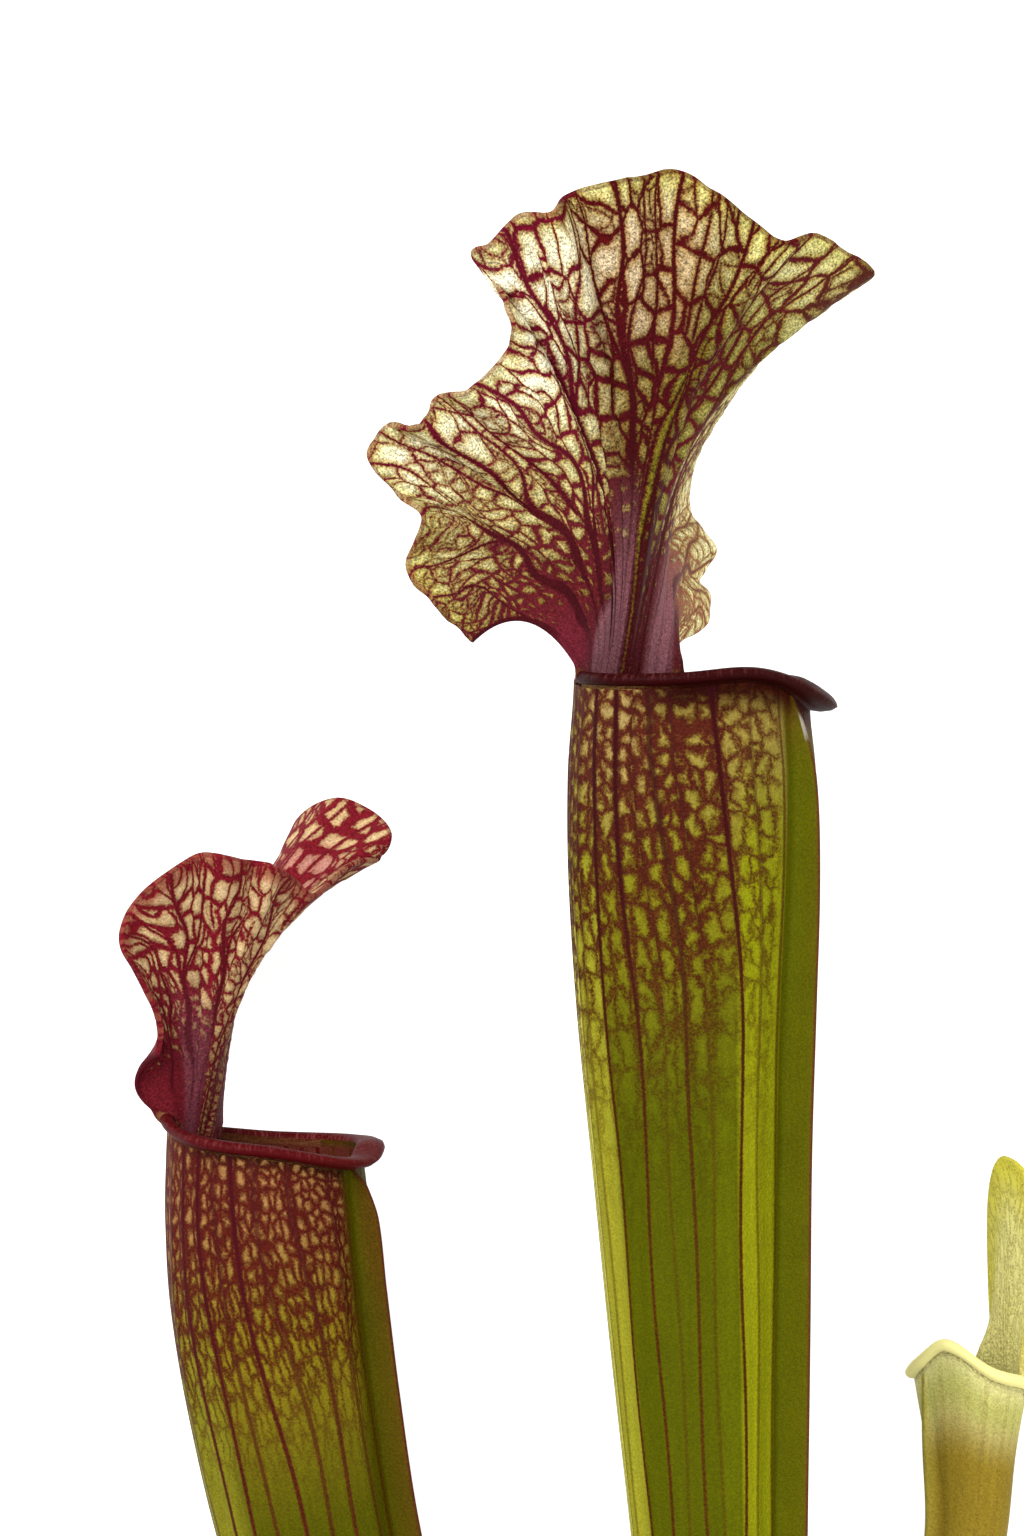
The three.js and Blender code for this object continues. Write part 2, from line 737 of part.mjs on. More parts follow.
function rootedRhizome(floor) {
  const draw = seededDraws(ROOT_SEED);
  let body = rhizomeSolid(0);
  for (let i = 0; i < ROOT_COUNT; i += 1) {
    const share = i / (ROOT_COUNT - 1);
    const start = new THREE.Vector3(
      RHIZOME_SHIFT + (share - 0.5) * 0.82 * RHIZOME_LENGTH,
      -2.5,
      3.2 + 3 * draw(),
    );
    const heading = toRadians(-90 + (share - 0.5) * ROOT_FAN_DEGREES + 14 * (draw() - 0.5));
    const length = ROOT_LENGTH + ROOT_LENGTH_SPREAD * draw();
    const radius = ROOT_RADIUS + ROOT_RADIUS_SPREAD * draw();
    const sway = 0.5 * (draw() - 0.5);
    body = body.add(rootSolid(start, heading, length, radius, sway));
  }
  return body.subtract(floor);
}

// Assembly

const floor = floorSolid();
const seat = rhizomeSolid(SEAT_GAP);
const plant = new THREE.Group();
plant.name = "trumpet_pitcher_plant";
for (const spec of [TALL, LEFT, RIGHT]) {
  const solid = pitcherSkin(spec).solid().subtract(seat).subtract(floor);
  plant.add(meshOf(solid, spec.name, spec.colour, 0.5));
}
plant.add(meshOf(rootedRhizome(floor), "rhizome_with_roots", 0x5a3a22, 0.85));

export default plant;
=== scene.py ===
import math

import bpy
import numpy as np
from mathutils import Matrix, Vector


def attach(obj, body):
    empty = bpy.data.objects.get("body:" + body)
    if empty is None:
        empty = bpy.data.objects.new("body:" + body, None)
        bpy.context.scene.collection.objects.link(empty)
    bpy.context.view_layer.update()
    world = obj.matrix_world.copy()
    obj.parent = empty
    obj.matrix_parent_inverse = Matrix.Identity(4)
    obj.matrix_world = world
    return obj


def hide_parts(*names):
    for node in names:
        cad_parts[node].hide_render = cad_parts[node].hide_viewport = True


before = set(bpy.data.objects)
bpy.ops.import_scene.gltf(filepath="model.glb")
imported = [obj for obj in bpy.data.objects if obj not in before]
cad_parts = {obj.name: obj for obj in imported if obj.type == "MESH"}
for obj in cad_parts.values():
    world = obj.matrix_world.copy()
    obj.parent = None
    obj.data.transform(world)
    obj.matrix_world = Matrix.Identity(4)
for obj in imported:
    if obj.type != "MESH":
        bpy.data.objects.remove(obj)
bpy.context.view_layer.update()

# Lengths in the tables are millimetres, as in the solids' source.
MM = 0.001

# Driving dimensions, as in the solids
TUBE_WALL = 0.9
HOOD_THICKNESS = 0.9
LIP_THICKNESS = 1.9
THROAT_AXIS = (0.2, 1, 0.18)
NECK_CREST_WIDTH = 0.13
NECK_CREST_SHARE = 0.22
NECK_FACE_END = 0.75
NECK_BACK_START = 0.4
WAVE_POWER = 4

RHIZOME_LENGTH = 56
RHIZOME_RADIUS = 8.4
RHIZOME_AXIS_HEIGHT = 8
RHIZOME_SHIFT = -2
RHIZOME_RINGS = 9
RHIZOME_BEND = 3
RING_HEIGHT = 0.7
KNOB_HEIGHT = 0.5
ROOT_COUNT = 13
ROOT_SEED = 7
ROOT_LENGTH = 42
ROOT_LENGTH_SPREAD = 34
ROOT_RADIUS = 0.95
ROOT_RADIUS_SPREAD = 0.45
ROOT_FAN_DEGREES = 84
ROOT_THINNING = 0.75

# How finely the looks are cut
HOOD_ROWS = 108
ROWS_PER_STATION = 8
INNER_ROWS_PER_STATION = 3
TUBE_SHARE = 4
EDGE_STEPS = 8
LIP_DEGREES_PER_COLUMN = 2.4
STOCK_SLICES = 220
STOCK_SIDES = 84
ROOT_STEPS = 72
ROOT_SIDES = 12
ROOTLETS_PER_ROOT = 9
ROOTLET_STEPS = 14
ROOTLET_SIDES = 6
BRACT_STEPS = 14
BRACTS_PER_LEAF = 4

# How the tubes' top rows run into the lip and the hood
RIM_STATIONS = 2.5
CORNER_REACH = 0.13
CORNER_SHARE = 0.06

# Where the midrib runs across the hood, and how it swings over towards the margin
CREST_SHARE = 0.05
CREST_SWING = 0.1

# Fine relief
RIB_HEIGHT = 0.12
FOLD_HEIGHT = 0.5
FOLD_DEGREES = 8
PUFF_LOW = -0.1
PUFF_HIGH = 0.26
BRACT_DEGREES = 50
BRACT_THICKNESS = 0.4
FLOOR_SOFTNESS = 1.2

# How strong a line is that the tables don't name, and room for the number of each side's veins
LINE_STRENGTH = 0.7
MOST_VEINS = 20
# Millimetres to the margin, for the tubes, and the share of the way to it that gives its direction
FAR_INSIDE = 20
JUST_INSIDE = 0.97
LIP_TICK_DEGREES = 6

# The nets' patterns start anew between each two main veins, this far apart
SECTOR_STEP = (17.3, 7.7)
# Millimetres by which the hood's cells wander, and over which they grow longer
WANDER = 1.8
HOOD_STRETCH = 25
# How many times smaller than the hood's cells the small cells and the cracks between them are
SMALL_CELLS = 1.9
CRACK_CELLS = 2.6
# What the flesh beside the veins is multiplied by: an olive tint that also darkens the dips between the
# cells as painted shade
HALO_TINT = (0.56, 0.42, 0.22, 1)

# How bright a white surface is in this light, so that colours are given as the eye sees them
LIGHT_LEVEL = 2.0

# The values of the leaves' vertices
SCALARS = ("ray", "gap", "out", "rest", "hood", "net", "weight", "flood", "face", "around", "spout")
COLOURS = ("flesh", "stain")

# One side of the front wing: sideways offset and share of its height
WING_SIDE = ((0.22, 1.0), (0.4, 0.96), (0.48, 0.82), (0.54, 0.5), (0.65, 0.2), (0.85, 0.05), (1.2, 0.0))
WING_PROFILE = tuple((-offset, height) for offset, height in WING_SIDE[::-1]) + WING_SIDE

# Each pitcher, with the solids' own values. Only the tall hood's far lobe has a rounder margin.
# stations: height Y, X, Z, tube radius, wing width.
# lip: degrees from the front, height of the rim.
# margin: share of the neck, across, above the mouth, towards the viewer, wave of the edge.
TALL = dict(
    name="pitcher_tall", front_angle=57, front_side=1, neck_half=54, spout_flare=4.4, side_flare=1.5,
    spout_angle=-18, spout_width=34, wing_degrees=14, rise=0.36, lean=0.14, pull=0.4, pull_rise=0.4,
    throat_climb=22, gather=0.36, near_flare=4, near_lift=4, far_pinch=3, bow=6, bow_share=-0.22,
    bow_width=0.18, throat=(-8.5, 14, -6.5), keel_height=4.7, inner_floor=6,
    stations=(
        (4, 0.5, 9.6, 6.4, 0), (18, 0.5, 12.5, 5.5, 0.6), (38, 0.4, 20, 5.7, 2.2),
        (62, 0.1, 30, 6.7, 3.6), (90, -0.6, 39.4, 8.4, 4.4), (118, -1.5, 45, 10.0, 4.7),
        (146, -2.7, 47.2, 11.7, 4.8), (174, -3.9, 47.5, 13.6, 4.7), (200, -4.9, 47.5, 15.2, 4.6),
        (224, -5.6, 47.4, 16.9, 4.5), (243, -5.7, 47.2, 18.0, 4.1), (258, -5.6, 47, 18.2, 3.2),
        (267, -5.6, 47, 17.6, 1.6), (271.5, -5.6, 47, 17.4, 0),
    ),
    lip=(
        (-126, 0.9), (-90, 0.7), (-62, 0.2), (-42, -1.8), (-26, -3.2), (-8, -2.0), (10, 0.4), (30, 1.5),
        (62, 0.7), (92, 0.5), (126, 0.9),
    ),
    margin=(
        (1.0, -32.4, 6.3, 12, 0), (0.94, -38.6, 12.4, 14, 2.2), (0.89, -41.8, 17.6, 15, -1.8),
        (0.84, -39.4, 24.3, 15, 2.4), (0.795, -43.2, 27.8, 14.5, -1.8), (0.75, -47.3, 33.2, 14, 2.2),
        (0.705, -44.7, 37.6, 14, -1.6), (0.665, -40.1, 37.6, 14, 2.4), (0.625, -37.4, 41.8, 14, -1.8),
        (0.58, -32.4, 43.1, 13.5, 2.4), (0.54, -27.8, 48.0, 13, -1.6), (0.5, -26.4, 52.6, 12.5, 2.4),
        (0.45, -29.0, 59.0, 12, -1.4), (0.41, -32.1, 62.8, 12, -0.6), (0.37, -29.4, 64.4, 12, 2.6),
        (0.33, -25.4, 68.4, 12, -1.6), (0.29, -20.7, 68.6, 12, 2.6), (0.25, -18.4, 71.4, 11, -1.8),
        (0.2, -13.2, 72.8, 10, 2.4), (0.12, -2.9, 75.1, 6, -0.8), (0.06, 3.4, 72.0, 3, 1.6),
        (0.0, 8.9, 67.8, 0, -0.8), (-0.06, 13.6, 64.9, -4, 0.8), (-0.12, 18.4, 66.2, -9, 1.2),
        (-0.19, 26.9, 61.2, -17, -2), (-0.25, 22.6, 58.8, -23, -1.2), (-0.32, 17.3, 55.2, -29, 1.6),
        (-0.39, 13.2, 51.6, -34, -1.4), (-0.46, 8.8, 46.8, -38, 1.8), (-0.53, 5.6, 42.2, -41, -1.4),
        (-0.61, 1.0, 34.6, -44, 1.6), (-0.68, -0.2, 26.4, -46, -1.2), (-0.735, 1.7, 23.6, -47, 1.0),
        (-0.78, 3.6, 20.6, -47.5, 0.4), (-0.82, 2.4, 17.4, -47, 0.4), (-0.855, 1.3, 15.4, -47, 0.8),
        (-0.89, 2.9, 13.2, -46.5, 0.6), (-0.935, 2.5, 9.6, -45, 0.4), (-1.0, -2.0, 6.3, -41, 1),
    ),
    # Main veins: share of the neck, number of the vein
    hood_veins=(
        (-1.0, -7), (-0.8, -6), (-0.64, -5), (-0.5, -4), (-0.36, -3), (-0.21, -2), (-0.1, -1), (0.0, 0),
        (0.1, 1), (0.19, 2), (0.37, 3), (0.56, 4), (0.665, 5), (0.84, 6), (1.0, 7),
    ),
    # Down the tube: degrees from the front, number of the vein, its strength
    tube_veins=(
        (0, 17, 0.2), (9, 16, 0.7), (22, 15, 0.55), (33, 14, 1.0), (49, 13, 0.45), (60, 12, 0.9),
        (72, 11, 0.4), (86, 10, 1.0), (105, 9, 1.0), (119, 8, 0.5), (126, 7, 0.4),
    ),
)

LEFT = dict(
    name="pitcher_left", front_angle=63, front_side=1, neck_half=34, spout_flare=4.0, spout_angle=0,
    side_flare=2.0, spout_width=40, wing_degrees=16, rise=0.36, lean=0.16, pull=0.4, pull_rise=0.36,
    throat_climb=14, gather=0.3, near_flare=9, near_lift=0, far_pinch=0, bow=7, bow_share=-0.24,
    bow_width=0.26, throat=(-7, 12, -3), keel_height=3.6, inner_floor=5,
    stations=(
        (4, -14, 9.2, 5.3, 0), (20, -15.5, 11, 4.8, 0.8), (42, -23.5, 15, 5.8, 2.2),
        (66, -34, 20, 7.8, 3.2), (92, -45, 25, 10.2, 3.6), (118, -54, 29, 12.4, 3.7),
        (146.2, -61.4, 31, 14.0, 3.6), (166, -65.2, 31.6, 14.9, 3.6), (181, -67.3, 31.8, 15.3, 3.4),
        (192, -68.2, 31.8, 15.1, 3.2), (199, -68.5, 31.8, 14.7, 1.8), (202.5, -68.6, 31.8, 14.4, 0),
    ),
    lip=(
        (-146, 2.6), (-110, 1.6), (-60, 1.0), (-20, 0.3), (0, -1.8), (20, -1.8), (57, 0), (90, 1.2),
        (120, 2.8), (146, 5.0),
    ),
    margin=(
        (1.0, -15.7, 14.4, 9, 0), (0.93, -15.4, 19.0, 7, 0.8), (0.86, -18.0, 25.0, 11, -0.8),
        (0.79, -20.9, 30.8, 13, 1), (0.71, -19.6, 35.8, 12, -0.8), (0.63, -15.9, 39.7, 14, 1.2),
        (0.54, -10.0, 43.5, 12, -1), (0.46, -6.2, 43.6, 13, 1.2), (0.38, -1.6, 42.6, 10, -1),
        (0.29, 1.4, 42.0, 9, 1), (0.2, 4.6, 39.8, 5, -0.8), (0.1, 7.0, 37.6, 2, 0.6),
        (0.0, 9.4, 39.4, -3, -0.4), (-0.1, 13.2, 42.6, -7, 0.6), (-0.18, 16.6, 43.2, -10, -0.8),
        (-0.26, 18.4, 46.6, -12, 0.8), (-0.34, 15.8, 49.7, -15, -0.8), (-0.42, 10.6, 51.8, -18, 0.8),
        (-0.52, 5.2, 49.3, -21, -1), (-0.62, 2.2, 43.6, -27, 1), (-0.71, -2.0, 37.0, -29, -1),
        (-0.8, -5.0, 29.5, -33, 1), (-0.88, -8.0, 22.0, -30, -1), (-0.94, -9.2, 16.0, -28, 0.8),
        (-1.0, -9.6, 10.2, -21, 0),
    ),
    hood_veins=(
        (-1.0, -5), (-0.74, -4), (-0.54, -3), (-0.34, -2), (-0.16, -1), (0.0, 0), (0.22, 1), (0.42, 2),
        (0.62, 3), (0.82, 4), (1.0, 5),
    ),
    tube_veins=(
        (0, 15, 0.4), (9, 14, 0.7), (19, 13, 0.7), (34, 12, 0.9), (50, 11, 0.8), (66, 10, 1.0),
        (82, 9, 0.8), (97, 8, 1.0), (114, 7, 1.0), (130, 6, 0.6), (146, 5, 0.6),
    ),
)

RIGHT = dict(
    name="pitcher_right", front_angle=60, front_side=-1, neck_half=56, spout_flare=1.6, spout_angle=0,
    side_flare=1.0, spout_width=45, wing_degrees=26, rise=0.36, lean=0.1, pull=0.35, pull_rise=0.2,
    throat_climb=8, gather=0.2, near_flare=0, near_lift=0, far_pinch=0, bow=0, bow_share=0, bow_width=0.2,
    throat=(6.4, 9, -2), keel_height=1.6, inner_floor=5,
    stations=(
        (4, 12.6, 8.4, 4.0, 0), (20, 13.6, 8.6, 3.3, 0.4), (50, 19, 8.8, 3.4, 1.2),
        (85, 26.6, 9.6, 3.9, 1.8), (118, 32.8, 11.4, 4.7, 2.0), (146, 36.2, 12.9, 5.7, 2.0),
        (158, 36.4, 13.2, 6.8, 1.6), (168.4, 36.5, 13.6, 8.6, 0),
    ),
    lip=(
        (-124, -0.6), (-80, 1.0), (-32, 5.2), (0, 2.4), (26, 0.6), (60, 1.2), (90, 2.0), (124, 0.4),
    ),
    margin=(
        (1.0, 3.4, 6.6, -10.5, 0.5), (0.74, 3.2, 14.1, -13.6, -0.5), (0.5, 3, 21.8, -11.5, 0.5),
        (0.28, 3.1, 27.3, -7, -0.5), (0.1, 3.8, 31.2, -4.5, 0.5), (0.0, 5, 32.4, -2, -0.5),
        (-0.12, 7.4, 30.8, 1.5, 0.5), (-0.3, 9.2, 26.5, 5, -0.5), (-0.52, 10.2, 20.6, 7, 0.5),
        (-0.76, 9.8, 13.6, 8.5, -0.5), (-1.0, 9, 7.1, 7, 0.5),
    ),
    hood_veins=(
        (-1.0, -3), (-0.62, -2), (-0.3, -1), (0.0, 0), (0.3, 1), (0.62, 2), (1.0, 3),
    ),
    tube_veins=(
        (0, 10, 0.3), (18, 9, 0.7), (36, 8, 0.5), (54, 7, 0.9), (72, 6, 0.5), (90, 5, 1.0), (108, 4, 0.6),
        (124, 3, 0.5),
    ),
)


# Curves and vectors


def smooth(value):
    value = np.clip(value, 0, 1)
    return value * value * (3 - 2 * value)


def rises(value, start, width):
    """A smooth step up from 0 at the start."""
    return smooth((value - start) / width)


def falls(value, start, width):
    return 1 - rises(value, start, width)


def lerp(a, b, share):
    return a + (b - a) * share


def unit(vectors):
    return vectors / np.linalg.norm(vectors, axis=-1, keepdims=True)


def dot(a, b):
    return np.sum(a * b, axis=-1, keepdims=True)


def sample_table(rows, keys):
    """Values between the rows of a table, on a smooth curve through them; column 0 is the key."""
    rows = np.asarray(rows, float)
    if rows[0, 0] > rows[-1, 0]:
        rows = rows[::-1]
    keys = np.clip(np.asarray(keys, float), rows[0, 0], rows[-1, 0])
    i = np.clip(np.searchsorted(rows[:, 0], keys, side="right") - 1, 0, len(rows) - 2)
    before, start, end, after = (rows[np.clip(i + k, 0, len(rows) - 1)] for k in (-1, 0, 1, 2))
    span = end[..., :1] - start[..., :1]
    q = (keys[..., None] - start[..., :1]) / span
    slope_start = (end - before) / (end[..., :1] - before[..., :1]) * span
    slope_end = (after - start) / (after[..., :1] - start[..., :1]) * span
    rise = end - start
    bend = slope_start + slope_end - 2 * rise
    values = start + q * (slope_start + q * (3 * rise - 2 * slope_start - slope_end + q * bend))
    return values[..., 1:]


def linear_colour(red, green, blue):
    """A surface's colour, from the one that the eye sees in this light, 0 to 255."""
    shade = np.array([red, green, blue]) / 255
    light = np.where(shade <= 0.04045, shade / 12.92, ((shade + 0.055) / 1.055) ** 2.4)
    return light / LIGHT_LEVEL


# Tubes


def tube_frame(spec, station):
    """Centre, radius, wing and directions of a tube at station numbers, which may be fractions."""
    rows = np.array(spec["stations"], float)
    last = len(rows) - 1
    station = np.asarray(station, float)

    def at(s):
        key = np.interp(s, np.arange(last + 1), rows[:, 0])
        x, z, radius, wing = np.moveaxis(sample_table(rows, key), -1, 0)
        return np.stack([x, key, z], -1), radius, wing

    centre, radius, wing = at(station)
    ahead = at(np.minimum(station + 0.05, last))[0]
    behind = at(np.maximum(station - 0.05, 0))[0]
    along = unit(ahead - behind)
    angle = math.radians(spec["front_angle"])
    front = np.array([spec["front_side"] * math.sin(angle), 0, math.cos(angle)])
    front = unit(front - along * dot(along, front))
    side = np.cross(front, along)
    return dict(centre=centre, radius=radius, wing=wing, along=along, front=front, side=side)


def frame_rows(spec, station):
    """The same with an axis more, for points around each station."""
    at = tube_frame(spec, station)
    return {name: (value[:, None] if value.ndim == 2 else value) for name, value in at.items()}


def mouth_frame(spec):
    return tube_frame(spec, len(spec["stations"]) - 1)


def ring_point(at, angle, distance):
    angle = np.asarray(angle)[..., None]
    distance = np.asarray(distance)[..., None]
    return at["centre"] + at["front"] * distance * np.cos(angle) + at["side"] * distance * np.sin(angle)


def neck_angle(spec, share):
    return math.pi - share * math.radians(spec["neck_half"])


def rim_height(spec, angle):
    degrees = np.degrees(angle)
    return sample_table(spec["lip"], np.where(degrees > 180, degrees - 360, degrees))[..., 0]


def lip_profile(spec, angles):
    """Points of the rolled lip: one column for each angle, from the outer wall to the inner wall."""
    at = mouth_frame(spec)
    angles = np.asarray(angles)[None, :]
    degrees = np.degrees(np.where(angles > math.pi, angles - 2 * math.pi, angles))
    spout = np.exp(-(((degrees - spec["spout_angle"]) / spec["spout_width"]) ** 2))
    neck_fade = 1 - smooth((np.abs(degrees) - 100) / 26) * 0.45
    flare = lerp(spec["side_flare"], spec["spout_flare"], spout) * neck_fade
    half_width = (flare + TUBE_WALL) / 2
    first = -np.arccos((TUBE_WALL - flare) / 2 / half_width)
    turn = lerp(first, math.pi, np.linspace(0, 1, EDGE_STEPS + 1)[:, None])
    out = flare / 2 + half_width * np.cos(turn)
    up = rim_height(spec, angles) + LIP_THICKNESS / 2 * np.sin(turn)
    points = ring_point(at, np.broadcast_to(angles, out.shape), at["radius"] - TUBE_WALL / 2 + out)
    return points + at["along"] * up[..., None]


# Hoods


def blade_points(spec, share, reach):
    """The middle of the hood's blade; share runs across the neck, reach from the rim to the margin."""
    share, reach = np.broadcast_arrays(np.asarray(share, float), np.asarray(reach, float))
    at = mouth_frame(spec)
    angle = neck_angle(spec, share)
    spread = np.abs(share)
    edge = rim_height(spec, angle) * spread**2
    rim = ring_point(at, angle, np.full(angle.shape, at["radius"] - TUBE_WALL / 2))
    rim = rim + at["along"] * edge[..., None]
    across, above, near, wave = np.moveaxis(sample_table(spec["margin"], share), -1, 0)
    margin = at["centre"] + np.stack([across, above, near], -1)
    climb = spec["throat_climb"] * (1 - spread)
    throat = at["centre"] + np.array(spec["throat"]) + np.array(THROAT_AXIS) * climb[..., None]
    rise = spec["rise"] * np.linalg.norm(margin - rim, axis=-1, keepdims=True)
    column = rim + at["along"] * rise + at["front"] * rise * spec["lean"]
    gathered = spec["gather"] * (1 - spread**4)
    near_edge = np.maximum(share, 0) ** 8
    far_edge = np.maximum(-share, 0) ** 8
    column[..., 0] += (throat[..., 0] - column[..., 0]) * gathered
    column[..., 2] += (throat[..., 2] - column[..., 2]) * gathered
    column[..., 0] -= spec["near_flare"] * near_edge + spec["far_pinch"] * far_edge
    pull = spec["pull"] + spec["pull_rise"] * (1 - spread**2)
    fan = margin + (throat - margin) * pull[..., None]
    bow = spec["bow"] * np.exp(-(((share - spec["bow_share"]) / spec["bow_width"]) ** 2))
    fan[..., 0] -= bow + 0.6 * spec["near_flare"] * near_edge
    fan[..., 1] += bow / 2 + spec["near_lift"] * near_edge
    t = reach[..., None]
    points = rim * (1 - t) ** 3 + 3 * column * t * (1 - t) ** 2 + 3 * fan * t**2 * (1 - t) + margin * t**3
    points[..., 2] += wave * reach**WAVE_POWER
    return points


def blade_normals(spec, share, reach):
    """The blade's normals, towards the mouth."""
    step = 0.004
    wide = blade_points(spec, np.minimum(share + step, 1), reach)
    wide = wide - blade_points(spec, np.maximum(share - step, -1), reach)
    outward = blade_points(spec, share, np.minimum(reach + step, 1))
    outward = outward - blade_points(spec, share, np.maximum(reach - step, 0))
    return unit(np.cross(outward, wide))


def keel_offset(spec, share, reach):
    crest = np.maximum(0, 1 - np.abs(share) / NECK_CREST_WIDTH)
    crest = crest * crest * (2 - crest)
    profile = lerp(1 - share**2, crest, NECK_CREST_SHARE)
    return spec["keel_height"] * profile * (1 - smooth(reach / NECK_FACE_END))


# Veins


def piecewise(pairs, keys):
    """A smooth curve through pairs of key and value."""
    return sample_table(sorted(pairs), keys)[..., 0]


def hood_ray(spec, share, reach):
    """Numbers the hood's veins across the blade: a main vein runs at each whole number."""
    ray = piecewise(spec["hood_veins"], share)
    sway = 0.1 * np.sin(9 * reach + 2.1 * ray) + 0.05 * np.sin(23 * reach - 3.3 * ray)
    return ray + sway * smooth(reach / 0.3) * smooth((1 - np.abs(share)) / 0.08)


def tube_ray(spec, degrees, depth):
    """The same down the tube; degrees from the front, -180 to 180, and depth below the mouth."""
    lean = 20 * np.exp(-(((np.abs(degrees) - 68) / 38) ** 2)) * smooth(1 - depth / 52)
    turned = np.clip(np.abs(degrees) - lean, 0, 180)
    limit = 180 - spec["neck_half"]
    within = piecewise(spec["tube_veins"], np.minimum(turned, limit))
    neck = piecewise(spec["hood_veins"], np.clip((180 - np.abs(degrees)) / spec["neck_half"], 0, 1))
    ray = np.where(np.abs(degrees) > limit, neck, within)
    ray = ray + 0.07 * np.sin(depth / 9 + 1.7 * ray) * smooth(depth / 12)
    return np.sign(degrees) * ray


# Meshes


class Skin:
    """Vertices with their values, and the faces between rows of them."""

    def __init__(self, scalars, colours=()):
        self.points = np.zeros((0, 3))
        self.values = {name: np.zeros(0) for name in scalars}
        self.values.update({name: np.zeros((0, 3)) for name in colours})
        self.faces = []
        self.slots = []

    def add(self, points, **values):
        """The numbers of new vertices; a value that isn't given is 0."""
        shape = points.shape[:-1]
        index = np.arange(len(self.points), len(self.points) + math.prod(shape)).reshape(shape)
        self.points = np.concatenate([self.points, points.reshape(-1, 3)])
        for name, table in self.values.items():
            value = np.broadcast_to(values.get(name, 0.0), shape + table.shape[1:])
            self.values[name] = np.concatenate([table, value.reshape(-1, *table.shape[1:])])
        return index

    def sheet(self, rows, flip=False, closed=False, slot=0):
        here = rows if closed else rows[:, :-1]
        ahead = np.roll(rows, -1, axis=1) if closed else rows[:, 1:]
        quads = np.stack([here[:-1], ahead[:-1], ahead[1:], here[1:]], -1).reshape(-1, 4)
        self.faces += (quads[:, ::-1] if flip else quads).tolist()
        self.slots += [slot] * len(quads)

    def stitch(self, coarse, fine, parts, flip=False, slot=0):
        """Faces between a row and one with more vertices."""
        for i in range(len(coarse) - 1):
            steps = fine[i * parts : i * parts + parts + 1]
            middle = parts // 2
            fans = [(coarse[i], steps[k], steps[k + 1]) for k in range(middle)]
            fans += [(coarse[i], steps[middle], coarse[i + 1])]
            fans += [(coarse[i + 1], steps[k], steps[k + 1]) for k in range(middle, parts)]
            for fan in fans:
                corners = [int(v) for v in fan]
                self.faces.append(corners if flip else corners[::-1])
                self.slots.append(slot)

    def cap(self, ring, flip=False, slot=0):
        """A fan that closes a ring at its middle."""
        same = {name: value[ring[0]] for name, value in self.values.items()}
        centre = int(self.add(self.points[ring].mean(axis=0)[None], **same)[0])
        ahead = np.roll(ring, -1)
        for a, b in zip(ring.tolist(), ahead.tolist()):
            self.faces.append([centre, b, a] if flip else [centre, a, b])
            self.slots.append(slot)

    def tube(self, rows, flip=False, slot=0):
        """A closed body between rings, with a cap on each end."""
        self.sheet(rows, flip=flip, closed=True, slot=slot)
        self.cap(rows[0], flip=not flip, slot=slot)
        self.cap(rows[-1], flip=flip, slot=slot)


def make_object(name, skin, materials):
    """A smooth-shaded object in metres, with an attribute for each value of its vertices."""
    mesh = bpy.data.meshes.new(name)
    mesh.from_pydata((skin.points * MM).tolist(), [], skin.faces)
    mesh.polygons.foreach_set("material_index", np.array(skin.slots, np.int32))
    mesh.shade_smooth()
    for key, value in skin.values.items():
        if value.ndim == 1:
            layer = mesh.attributes.new(key, "FLOAT", "POINT")
            layer.data.foreach_set("value", value.astype(np.float32))
        else:
            layer = mesh.attributes.new(key, "FLOAT_COLOR", "POINT")
            full = np.concatenate([value, np.ones((len(value), 1))], axis=1)
            layer.data.foreach_set("color", full.astype(np.float32).ravel())
    thing = bpy.data.objects.new(name, mesh)
    bpy.context.scene.collection.objects.link(thing)
    for material in materials:
        mesh.materials.append(material)
    return thing


# Colours of the skins, as the eye sees them, 0 to 255


def paint(ground, *layers):
    """A colour field: its ground, with other colours laid over it where their masks are 1."""
    colour = linear_colour(*ground) if isinstance(ground, tuple) else ground
    for red, green, blue, mask in layers:
        colour = lerp(colour, linear_colour(red, green, blue), np.asarray(mask)[..., None])
    return colour


def band(value, low, high, soft):
    """1 between low and high, with soft edges."""
    return smooth((value - low) / soft + 0.5) * smooth((high - value) / soft + 0.5)


def crest_share(gone):
    """Where the midrib runs across the blade, from the neck to the margin."""
    return CREST_SHARE - CREST_SWING * rises(gone, 0.3, 0.7)


def columns_of_neck(share, out):
    """1 on the two smooth columns of the neck's face, on both sides of its midrib, whose pale mauve is
    partly the hairs' own colour and partly painted sheen.
    """
    near = band(share, 0.1, 0.84 - 0.54 * smooth(out / 22), 0.1) * falls(out, 8, 28)
    return near + band(share, -0.84, -0.46, 0.16) * falls(out, 6, 26)


def shaded_middle(share, out):
    """1 on the darker middle of the tall hood."""
    return band(share, -0.12, 0.34, 0.2) * band(out, 15, 56, 22)


def tall_flood(share, out):
    """Millimetres that the dark veins of the neck grow into the cells."""
    flood = 0.5 * falls(out, 2, 34) - 0.05
    flood = flood + 1.0 * rises(share, 0.7, 0.2) * falls(out, 2, 9)
    flood = flood - 0.06 * band(share, -0.44, 0.02, 0.1) * falls(out, 24, 20)
    flood = flood - 0.16 * rises(share, 0.5, 0.2) * rises(out, 8, 8)
    flood = flood - 0.12 * smooth((-0.5 - share) / 0.1) * rises(out, 8, 8)
    return flood + 0.6 * columns_of_neck(share, out) + 0.14 * shaded_middle(share, out)


def left_flood(share, out):
    dotted = band(share, -0.6, 0.34, 0.1)
    flood = 0.4 * falls(out, 3, 20) + 0.9 * falls(out, 1, 8)
    flood = lerp(flood, -0.14 + 0.6 * (1 - smooth(out / 2)), dotted)
    return flood + 0.3 * smooth((-0.05 - share) / 0.1) * rises(out, 25, 10)


